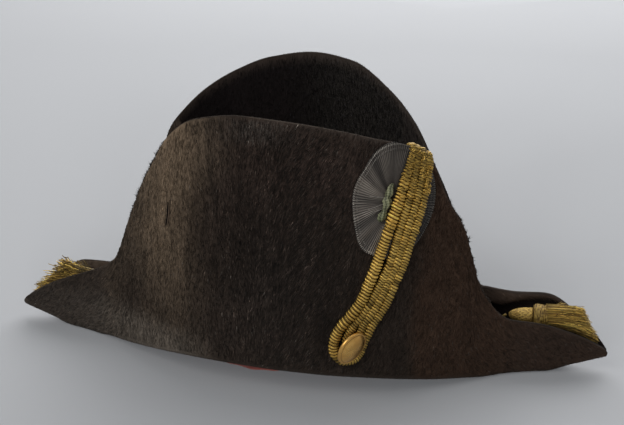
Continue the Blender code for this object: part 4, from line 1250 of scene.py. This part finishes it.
# the knot: pale silk gathered in small uneven lumps beside the rear strand
def knot_mesh(rings=84, around=40):
    top, n1 = near_wall(*KNOT["top"], KNOT["lift"] - 0.6)
    foot, n2 = near_wall(*KNOT["foot"], KNOT["lift"] - 0.6)
    out = unit(n1 + n2)
    q = np.linspace(0, 1, rings)
    side_way = unit(np.cross(out, top - foot))
    path = foot + (top - foot) * q[:, None] + side_way * (0.35 * np.sin(q * 10.4 + 0.6) + 0.22 * np.sin(q * 23))[:, None]
    knots = np.interp(q, [0, .05, .14, .24, .31, .42, .55, .63, .74, .84, .93, 1.0], [.35, .85, .98, .70, .55, .98, 1.12, .62, .98, .92, .60, .30])
    a = np.linspace(0, 2 * pi, around, endpoint=False)[None, :]
    folds = 0.10 * np.sin(4 * a + 14 * q[:, None]) + 0.05 * np.sin(104 * q[:, None] + 2.6 * np.sin(a + 4 * q[:, None])) + 0.06 * np.sin(11 * a - 21 * q[:, None])
    wide, thick = 2.45, 1.8
    shape = 1 / np.sqrt((np.cos(a) / wide) ** 2 + (np.sin(a) / thick) ** 2)
    r = shape * knots[:, None] * (1 + folds)
    p, tris, quads = sweep(path, r, out, around)
    me = mesh_of("cockade_knot", p, [tris, quads])
    put(me, "lump", np.concatenate([(0.35 * knots[:, None] + 0.5 + folds * 1.7).ravel(), [0.5, 0.5]]))
    put(me, "height", np.concatenate([np.repeat(q, around), [0, 1]]))
    put(me, "turn_a", np.concatenate([(a + 0 * r).ravel(), [0, 0]]))
    return facing_out(me)


m = Nodes("green_silk")
lump, ang = m.attr("lump"), m.attr("turn_a")
silk = m.noise(m.vec(m.math("MULTIPLY", ang, 9.0), m.math("MULTIPLY", lump, 2.5)), 1.0, 3.0)
# painted light and shade: fold crests and thick lumps are laid pale as painted highlight, creases dark as painted shade
col = m.mix(m.ramp(lump, 0.58, 1.10), tuple(lin(44, 46, 26)), tuple(lin(172, 172, 134)))
col = m.mix(m.ramp(silk, 0.35, 0.7, 0.0, 0.5), col, tuple(lin(80, 84, 52)))
# painted shade: the lower lumps, towards the foot, are laid darker
col = m.mix(m.ramp(m.attr("height"), 0.30, 0.05, 0.0, 0.6), col, m.mix(1.0, col, (0.52, 0.62, 0.45), "MULTIPLY"))
m.set(Base_Color=col, Roughness=m.ramp(silk, 0.3, 0.7, 0.38, 0.55), Normal=m.bump(silk, 0.5, 0.25))
for k, v in {"Sheen Weight": 0.12, "Sheen Roughness": 0.3, "Specular IOR Level": 0.4}.items():
    m.shader.inputs[k].default_value = v
SILK = m.mat
piece("cockade_knot", knot_mesh(), SILK, "cockade_centre", slot="green_silk")


# ---------------------------------------------------------------- button
def button_mesh(around=72):
    spot, spot_n = near_wall(*BUTTON_SPOT, 0.0)
    centre = spot + spot_n * BUTTON_LIFT
    face = BUTTON_FACE
    #        along, radius
    outline = [(3.95, 0.0), (3.92, 2.0), (3.8, 4.0), (3.5, 6.0), (3.05, 7.8), (2.45, 9.3), (1.95, 10.1), (1.75, 10.45),
               (1.85, 10.8), (1.80, 11.3), (1.35, 11.8), (0.7, 12.0), (0.0, 11.95), (-0.5, 11.6), (-0.8, 10.6), (-0.8, 9.2),
               (-0.6, 8.8), (-0.6, 3.2), (-0.9, 2.4), (-1.6, 1.8), (-2.6, 1.4)]
    run = np.linspace(0, len(outline) - 1, 84)
    al = curve_at(np.arange(len(outline)), [p[0] for p in outline], run)
    ra = np.maximum(curve_at(np.arange(len(outline)), [p[1] for p in outline], run), 0.0)
    side = unit(np.cross(Z3, face))
    up = np.cross(face, side)
    a = np.linspace(0, 2 * pi, around, endpoint=False)[None, :]
    u, v = ra[:, None] * np.cos(a), ra[:, None] * np.sin(a)
    dent = -0.22 * np.exp(-((u + 4.6) ** 2 + (v - 1.0) ** 2) / 3.2) - 0.16 * np.exp(-((u - 3.0) ** 2 + (v + 4.0) ** 2) / 8.0)
    along = al[:, None] + np.where(al[:, None] > 0, dent, 0)
    grid = centre + u[..., None] * side + v[..., None] * up + along[..., None] * face
    # the shank bends from the back of the button down to the felt
    back = grid[-1].mean(0)
    foot = spot + spot_n * 0.3
    ring = []
    for q in np.linspace(0, 1, 14)[1:]:
        c = back + (foot - back) * q
        ring.append(c + (grid[-1] - back) * (1 - 0.08 * q))
    grid = np.concatenate([grid[1:], np.array(ring)])
    rows = len(grid)
    pts = np.concatenate([grid.reshape(-1, 3), [centre + face * 3.95], [foot]])
    j = np.arange(around)
    k = (j + 1) % around
    n = rows * around
    caps = np.concatenate([np.stack([k, j, np.full(around, n)], -1),
                           np.stack([(rows - 1) * around + j, (rows - 1) * around + k, np.full(around, n + 1)], -1)])
    me = mesh_of("gilt_button", pts, [grid_faces(rows, around, True), caps])
    rr = np.concatenate([np.repeat(np.concatenate([ra[1:], np.full(13, 1.4)]), around), [0, 1.4]])
    put(me, "spread", rr)
    uu = np.concatenate([(u[1:]).ravel(), np.zeros(13 * around), [0, 0]])
    vv = np.concatenate([(v[1:]).ravel(), np.zeros(13 * around), [0, 0]])
    put(me, "face_u", uu)
    put(me, "face_v", vv)
    return facing_out(me)


m = Nodes("gilt_button")
place = m.vec(m.attr("face_u"), m.attr("face_v"), m.attr("spread"))
wear = m.noise(m.scaled(place, (0.16, 0.16, 0.1)), 1.0, 5.0, 0.6)
pits = m.noise(m.scaled(place, (1.5, 1.5, 1.0)), 1.0, 3.0, 0.6)
hair = m.noise(m.scaled(place, (0.5, 7.0, 0.3)), 1.0, 2.0, 0.6)
col = m.mix(m.ramp(wear, 0.36, 0.74), tuple(lin(238, 190, 110)), tuple(lin(212, 160, 86)))
col = m.mix(m.ramp(pits, 0.66, 0.74, 0.0, 0.6), col, tuple(lin(120, 76, 34)))
spot_d = m.node("VectorMath", operation="DISTANCE")
m.to(spot_d.inputs[0], m.vec(m.attr("face_u"), m.attr("face_v")))
spot_d.inputs[1].default_value = (3.4, -1.6, 0)
blemish = m.ramp(m.math("ADD", spot_d.outputs["Value"], m.math("MULTIPLY", pits, 1.1)), 0.75, 1.5, 0.85, 0.0)
col = m.mix(blemish, col, tuple(lin(96, 58, 30)))
groove = m.ramp(m.math("ABSOLUTE", m.math("SUBTRACT", m.attr("spread"), 10.4)), 0.0, 0.35, 0.6, 0.0)
col = m.mix(groove, col, tuple(lin(112, 70, 32)))
m.set(Base_Color=col, Metallic=1.0, Roughness=m.ramp(m.math("ADD", wear, m.math("MULTIPLY", pits, 0.35)), 0.45, 0.95, 0.24, 0.36),
      Normal=m.bump(m.math("ADD", m.math("MULTIPLY", pits, 0.6), m.math("MULTIPLY", hair, 0.4)), 0.12, 0.2))
GILT = m.mat
piece("gilt_button", button_mesh(), GILT, "button", slot="gilt_metal")


# ---------------------------------------------------------------- tassels
HEAD = [(17.0, 0.0), (17.0, 5.0), (16.4, 5.5), (13.0, 5.5), (9.0, 4.9), (5.0, 3.9), (2.0, 2.6), (0.6, 1.5), (0.0, 0.9)]
COLLAR = [(27.5, 0.0), (27.5, 7.9), (26.8, 8.2), (25.4, 8.2), (24.5, 8.0), (23.6, 8.3), (20.8, 8.6), (18.4, 8.3),
          (17.4, 7.2), (17.4, 0.0)]
CORD_R = 1.3


def turned(heap, profile, tip, axis, rows, around, relief):
    """profile turned about the axis, with a relief (along, angle, radius) -> mm; values go to the heap"""
    run = np.linspace(0, len(profile) - 1, rows)
    al = np.interp(run, np.arange(len(profile)), [p[0] for p in profile])
    ra = np.interp(run, np.arange(len(profile)), [p[1] for p in profile])
    # soften the corners of the profile
    for _ in range(3):
        ra[1:-1] = 0.25 * ra[:-2] + 0.5 * ra[1:-1] + 0.25 * ra[2:]
    side = unit(np.cross(Z3, axis))
    up = np.cross(axis, side)
    a = np.linspace(0, 2 * pi, around, endpoint=False)[None, :]
    lift = relief(al[:, None] + 0 * a, a + 0 * al[:, None], ra[:, None])
    r = np.maximum(ra[:, None] + lift * smooth(ra[:, None] / 1.5), 0)
    grid = tip + al[:, None, None] * axis + (r * np.cos(a))[..., None] * side + (r * np.sin(a))[..., None] * up
    grid = grid[1:-1]
    n = len(grid) * around
    ends = [tip + al[0] * axis, tip + al[-1] * axis]
    pts = np.concatenate([grid.reshape(-1, 3), ends])
    j = np.arange(around)
    k = (j + 1) % around
    q = (len(grid) - 1) * around
    quads = grid_faces(len(grid), around, True)
    tris = np.concatenate([np.stack([k, j, np.full(around, n)], -1), np.stack([q + j, q + k, np.full(around, n + 1)], -1)])
    if al[0] > al[-1]:
        quads, tris = quads[:, ::-1], tris[:, ::-1]
        quads, tris = quads[:, ::-1], tris[:, ::-1]
    # lower relief gets the darker colour: painted shade in the hollows of the net and the winding
    top = np.max(lift) + 1e-6
    low = np.min(lift)
    ridge = ((lift - low) / (top - low))[1:-1]
    heap.add(pts, tris, quads, ridge=np.concatenate([ridge.ravel(), [0.5, 0.5]]),
             wind_s=np.concatenate([(al[1:-1, None] + 0 * a).ravel(), [0, 0]]),
             wind_a=np.concatenate([(a * 6 + 0 * al[1:-1, None]).ravel(), [0, 0]]),
             tone=np.concatenate([(1 + 0.3 * (noise(a * 4 + 9, al[1:-1, None] * 0.9 + 9, 91) - 0.5)).ravel(), [1, 1]]))


def net(al, a, ra):
    """two families of wound threads crossing on the head"""
    n = 13
    warp = al * 0.42 + 0.5 * (noise(a * 1.5, al * 0.3, 95) - 0.5)
    d1 = np.abs(np.sin((a * n / 2 + warp * 1.9)))
    d2 = np.abs(np.sin((a * n / 2 - warp * 1.9)))
    worn = noise(a * 2.6 + 3, al * 0.55 + 2, 92)
    rib = np.maximum(np.exp(-(d1 / 0.34) ** 2), np.exp(-(d2 / 0.34) ** 2))
    rough = noise(a * 11, al * 2.3, 93) + 0.5 * noise(a * 22, al * 4.5, 94)
    return 0.10 + 0.28 * rib * smooth(worn * 1.7) + 0.40 * (rough - 0.6)


def wound(pitch, height):
    """threads wound round and round, uneven and frayed"""
    def relief(al, a, ra):
        turn_no = al / pitch + a / (2 * pi) + 0.30 * noise(a * 1.6 + 1, al * 0.3, 96)
        rough = noise(a * 7 + 3, al * 1.5, 97) + 0.6 * noise(a * 17, al * 3.1, 98)
        return height * np.abs(np.sin(pi * turn_no)) + 0.55 * (rough - 0.8)
    return relief


def smooth_route(points, per_step):
    """a smooth curve through the points, per_step points to each stretch, as in the part's own source"""
    a = np.array(points, float)
    run = np.concatenate([[0.0], np.cumsum(np.linalg.norm(np.diff(a, axis=0), axis=1))])
    s = np.interp(np.arange((len(a) - 1) * per_step + 1) / per_step, np.arange(len(a)), run)
    m = np.gradient(a, run, axis=0)
    i = np.clip(np.searchsorted(run, s, side="right") - 1, 0, len(run) - 2)
    h = (run[i + 1] - run[i])[:, None]
    t = (s - run[i])[:, None] / h
    return ((1 + 2 * t) * (1 - t) ** 2 * a[i] + t * (1 - t) ** 2 * h * m[i]
            + t * t * (3 - 2 * t) * a[i + 1] + t * t * (t - 1) * h * m[i + 1])


def skirt_frame(spec, t):
    """centre, way, side and up of the fringe at share t of its length, and its half sizes"""
    tip, waist, end = (np.array(spec[k], float) for k in ("tip", "waist", "end"))
    axis = unit(waist - tip)
    start = tip + axis * SKIRT_START
    run = np.linalg.norm(end - start)
    bend = start + axis * run * 0.5
    t = np.asarray(t, float)[..., None]
    c = start * (1 - t) ** 2 + bend * 2 * t * (1 - t) + end * t * t
    d = unit(axis * (1 - t) + unit(end - bend) * t)
    up = unit(Z3 - d * d[..., 2:3])
    side = np.cross(up, d)
    t = t[..., 0]
    return c, d, side, up, SKIRT_R + (spec["half_y"] - SKIRT_R) * t, SKIRT_R + (spec["half_z"] - SKIRT_R) * t ** 1.1, run


def thread_path(spec, u0, v0, reach, rng, steps, crimp, spread):
    """one thread of the fringe, from the collar to its own end"""
    t = np.linspace(-0.06, reach, steps)
    tc = np.clip(t, 0, 1)
    c, d, side, up, hy, hz, run = skirt_frame(spec, tc)
    c = c + d * ((t - tc) * run)[:, None]
    a = rng.uniform(0, 2 * pi, 6)
    k = smooth(tc * 1.6)
    b = rng.uniform(0.85, 1.25)
    wu = k * crimp * (np.sin(t * run / 3.1 + a[0]) * 0.6 + np.sin(t * run / b + a[1]) * 0.5)
    wv = k * crimp * (np.sin(t * run / 2.7 + a[2]) * 0.6 + np.sin(t * run / b + a[3]) * 0.5)
    su, sv = rng.normal(0, spread), rng.normal(0, spread)
    u, v = u0 * hy * 0.93 + wu + su * 0.4 * tc, v0 * hz * 0.95 + wv + sv * tc
    return c + side * u[:, None] + up * v[:, None] - d * (v0 * hz * spec["slant"] * tc ** 1.5)[:, None]


for end_name, spec in TASSELS.items():
    tip, waist = np.array(spec["tip"]), np.array(spec["waist"])
    axis = unit(waist - tip)
    tip = tip - Z3 * (1.1 if end_name == "front" else 0.0)      # head and collar sag a little
    heap = Heap()
    turned(heap, HEAD, tip, axis, *((72, 84) if end_name == "front" else (44, 48)), net)
    heap.values["ridge"][-1] = 0.10 + 0.90 * heap.values["ridge"][-1]
    heap.values["tone"][-1] = heap.values["tone"][-1] * 1.40
    piece("tassel_head_" + end_name + "_netted", facing_out(heap.mesh("tassel_head_" + end_name + "_netted")), THREAD,
          "tassel_head_" + end_name, slot="gold_thread")
    heap = Heap()
    turned(heap, COLLAR, tip, axis, *((110, 72) if end_name == "front" else (70, 48)), wound(1.15, 0.34))
    heap.values["ridge"][-1] = 0.85 * heap.values["ridge"][-1]
    heap.values["tone"][-1] = heap.values["tone"][-1] * (0.95 if end_name == "front" else 0.34)
    piece("tassel_collar_" + end_name + "_wound", facing_out(heap.mesh("tassel_collar_" + end_name + "_wound")), THREAD,
          "tassel_collar_" + end_name, slot="gold_thread")
    # the cord that it hangs by: two plies twisted together
    route = smooth_route(spec["cord"], 5)
    path, s, ref = resample(route, 0.40, np.tile(unit(np.array([0.1, -0.4, 0.9])), (len(route), 1)))
    a = np.linspace(0, 2 * pi, 12, endpoint=False)[None, :]
    ply = np.abs(np.cos(a - s[:, None] * 2 * pi / 5.2))
    fine = 0.05 * np.sin(a * 9 + s[:, None] * 5.5)
    r = CORD_R * (0.62 + 0.34 * ply + fine) * np.clip(np.minimum(s, s[-1] - s) / 0.5 + 0.4, 0.4, 1)[:, None]
    heap = Heap()
    p, tris, quads = sweep(path, r, ref, 12)
    # the seam between the plies gets the darker colour: painted shade
    heap.add(p, tris, quads, ridge=np.concatenate([(0.2 + 0.8 * ply).ravel(), [0.5, 0.5]]),
             wind_s=np.concatenate([np.repeat(s, 12), [0, 0]]), wind_a=np.concatenate([(a + 0 * s[:, None]).ravel() * 1.3, [0, 0]]), tone=0.5)
    cord = piece("tassel_cord_" + end_name + "_twisted", heap.mesh("tassel_cord_" + end_name + "_twisted"), THREAD,
                 "tassel_cord_" + end_name, slot="gold_thread")
    # the fringe: a core of packed threads, coloured dark as painted shade among them, and the threads that show
    front = end_name == "front"
    rng = np.random.default_rng(95 if front else 96)
    heap = Heap()
    t = np.linspace(-0.03, 0.80, 24)
    c, d, side, up, hy, hz, run = skirt_frame(spec, np.clip(t, 0, 1))
    a = np.linspace(0, 2 * pi, 44, endpoint=False)
    lump = (0.72 if front else 0.60) + 0.06 * np.sin(11 * a)[None, :] + 0.05 * np.sin(17 * a[None, :] + 9 * t[:, None])
    lump = lump * np.sqrt(np.clip((0.86 - t) / 0.2, 0.12, 1))[:, None]
    ring = (c[:, None] + (hy[:, None] * np.cos(a) * lump)[..., None] * side[:, None]
            + (hz[:, None] * np.sin(a) * lump)[..., None] * up[:, None]
            - (hz[:, None] * np.sin(a) * lump * spec["slant"] * np.clip(t, 0, 1)[:, None] ** 1.5)[..., None] * d[:, None])
    n = len(t) * 44
    pts = np.concatenate([ring.reshape(-1, 3), [ring[0].mean(0)], [ring[-1].mean(0)]])
    j = np.arange(44)
    k = (j + 1) % 44
    q = (len(t) - 1) * 44
    heap.add(pts, np.concatenate([np.stack([k, j, np.full(44, n)], -1), np.stack([q + j, q + k, np.full(44, n + 1)], -1)]),
             grid_faces(len(t), 44, True), ridge=0.1, wind_s=0.0, wind_a=0.0, tone=0.55)
    for i in range(620 if front else 360):
        ang = rng.uniform(0, 2 * pi)
        rad = sqrt(rng.uniform(0.42, 1.0))
        reach = (1.0 if front else 0.99) - abs(rng.normal(0.0, 0.075 if front else 0.06))
        stray = rng.random() < (0.05 if front else 0.16)
        if stray:
            reach += rng.uniform(-0.25, 0.05)
            rad *= rng.uniform(0.95, 1.18)
        crimp = rng.uniform(0.20, 0.55) if front else rng.uniform(0.3, 0.9)
        path = thread_path(spec, rad * cos(ang), rad * sin(ang), reach, rng, 24, crimp, 0.8 if front else 3.0)
        wire = rng.uniform(0.15, 0.24) if front else rng.uniform(0.20, 0.34)
        s = np.linspace(0, 1, 24)
        r = wire * (1 + 0.12 * np.sin(s * 60 + i)) * np.where(s > 0.98, 0.75, 1.0)
        p, tris, quads = sweep(path, r, unit(np.array([0.1, -0.8, 0.6])), 4)
        vals = np.concatenate([np.repeat(s * 30, 4), [0, 30]])
        shade = rng.choice([0.35, 0.6, 0.85, 1.0])
        heap.add(p, tris, quads, ridge=shade, wind_s=vals, wind_a=np.concatenate([np.tile(np.arange(4) * 0.6, 24), [0, 0]]),
                 tone=(rng.uniform(0.42, 2.20) if front else rng.uniform(0.26, 1.95))
                 * np.append(np.repeat(0.75 + 0.25 * smooth(s / 0.3) if front else 0.26 + 0.74 * smooth(s / 0.52), 4), [0.4, 1.0]))
    # loose ends that stand out from it
    for i in range(24 if front else 150):
        t0 = rng.uniform(0.02, 0.35) if front else rng.uniform(0.0, 0.78)
        ang = rng.uniform(0.1, 0.9) * pi
        c, d, side, up, hy, hz, run = skirt_frame(spec, np.array([t0]))
        v0 = sin(ang)
        p0 = c[0] + side[0] * hy[0] * 0.92 * cos(ang) + up[0] * hz[0] * 0.92 * v0 - d[0] * (v0 * hz[0] * spec["slant"] * t0 ** 1.5)
        way = unit(d[0] + up[0] * rng.normal(0.10, 0.34 if front else 0.48) + side[0] * rng.normal(0, 0.3 if front else 0.45))
        bend = unit(up[0] * rng.normal(0, 1) + side[0] * rng.normal(0, 1))
        size = rng.uniform(4, 8) if front else rng.uniform(6, 12)
        q = np.linspace(0, 1, 10)
        path = p0 + way * (size * q)[:, None] + bend * (rng.uniform(0.3, 1.2) * np.sin(q * rng.uniform(2, 5)))[:, None]
        p, tris, quads = sweep(path, np.full(10, rng.uniform(0.17, 0.27)), unit(np.array([0.1, -0.8, 0.6])), 4)
        heap.add(p, tris, quads, ridge=rng.choice([0.4, 0.7, 1.0]), wind_s=np.linspace(0, 9, len(p)), wind_a=0.0,
                 tone=rng.uniform(0.35, 1.7) if front else rng.uniform(0.25, 1.4) * (0.4 + 0.6 * smooth(t0 / 0.5)))
    piece("tassel_fringe_" + end_name + "_threads", heap.mesh("tassel_fringe_" + end_name + "_threads"), THREAD,
          "tassel_fringe_" + end_name, slot="gold_thread")

# ---------------------------------------------------------------- floor, light, camera
me = bpy.data.meshes.new("floor")
me.from_pydata([(-9, -9, 0), (9, -9, 0), (9, 9, 0), (-9, 9, 0)], [], [(0, 1, 2, 3)])
floor = bpy.data.objects.new("floor", me)
bpy.context.scene.collection.objects.link(floor)
m = Nodes("pale_floor")
m.set(Base_Color=(0.262, 0.265, 0.273), Roughness=1.0)
m.shader.inputs["Specular IOR Level"].default_value = 0.0
me.materials.append(m.mat)

scene = bpy.context.scene
scene.view_settings.view_transform = "Standard"
world = bpy.data.worlds.new("soft_light")
scene.world = world
world.use_nodes = True
world.node_tree.nodes["Background"].inputs["Color"].default_value = (0.93, 0.965, 1.0, 1)
world.node_tree.nodes["Background"].inputs["Strength"].default_value = 0.38


def area_light(name, at, to, size, energy, colour):
    light = bpy.data.lights.new(name, "AREA")
    light.shape = "RECTANGLE"
    light.size, light.size_y = size
    light.energy = energy
    light.color = colour
    ob = bpy.data.objects.new(name, light)
    scene.collection.objects.link(ob)
    ob.location = at
    ob.rotation_euler = (Vector(to) - Vector(at)).to_track_quat("-Z", "Y").to_euler()
    return ob


def only_on_table(light):
    """keeps a light off the hat, so that it only softens the shadow under the brim"""
    lit = bpy.data.collections.new(light.name + "_lit")
    lit.objects.link(floor)
    light.light_linking.receiver_collection = lit


area_light("key", (-1.1, -1.5, 1.7), (0, 0, 0.08), (1.6, 1.2), 21.6, (1.0, 0.985, 0.96))
area_light("top", (0.0, 1.0, 1.75), (0, 0, 0.05), (2.2, 1.6), 22, (1.0, 1.0, 1.0))
area_light("back", (0.0, 2.9, 1.3), (0, 2.6, 0), (4.0, 2.0), 62, (1.0, 1.0, 1.0))
for i, turned_by in enumerate((-28, -14, 0, 14, 28)):
    sun = bpy.data.lights.new("low_%d" % i, "SUN")
    sun.energy, sun.angle, sun.color = 1.18, radians(10), (0.97, 0.985, 1.0)
    ob = bpy.data.objects.new(sun.name, sun)
    scene.collection.objects.link(ob)
    ob.rotation_euler = Vector((sin(radians(turned_by)), cos(radians(turned_by)), -0.2)).to_track_quat("-Z", "Y").to_euler()
    only_on_table(ob)

# fitted to the hat's outline: turned 11.2 degrees, 19.5 degrees above the table, 663 mm away
a, e, away, aim_x, aim_z, tilt = radians(11.2), radians(19.5), 662.7, 9.5, 23.6, radians(-0.2)
back = Vector((sin(a) * cos(e), -cos(a) * cos(e), sin(e)))
right = Vector((cos(a), sin(a), 0))
upward = back.cross(right)
target = Vector((0, SHIFT_Y, 80)) + right * aim_x + upward * aim_z
eye = (target + back * away) * MM
r_, u_ = right * cos(tilt) - upward * sin(tilt), right * sin(tilt) + upward * cos(tilt)
cam = bpy.data.cameras.new("camera")
cam.sensor_width = 36
cam.lens = 900 / 624 * 36
cam.clip_start, cam.clip_end = 0.02, 50
camera = bpy.data.objects.new("camera", cam)
scene.collection.objects.link(camera)
camera.matrix_world = Matrix((r_, u_, back)).transposed().to_4x4()
camera.location = eye
scene.camera = camera
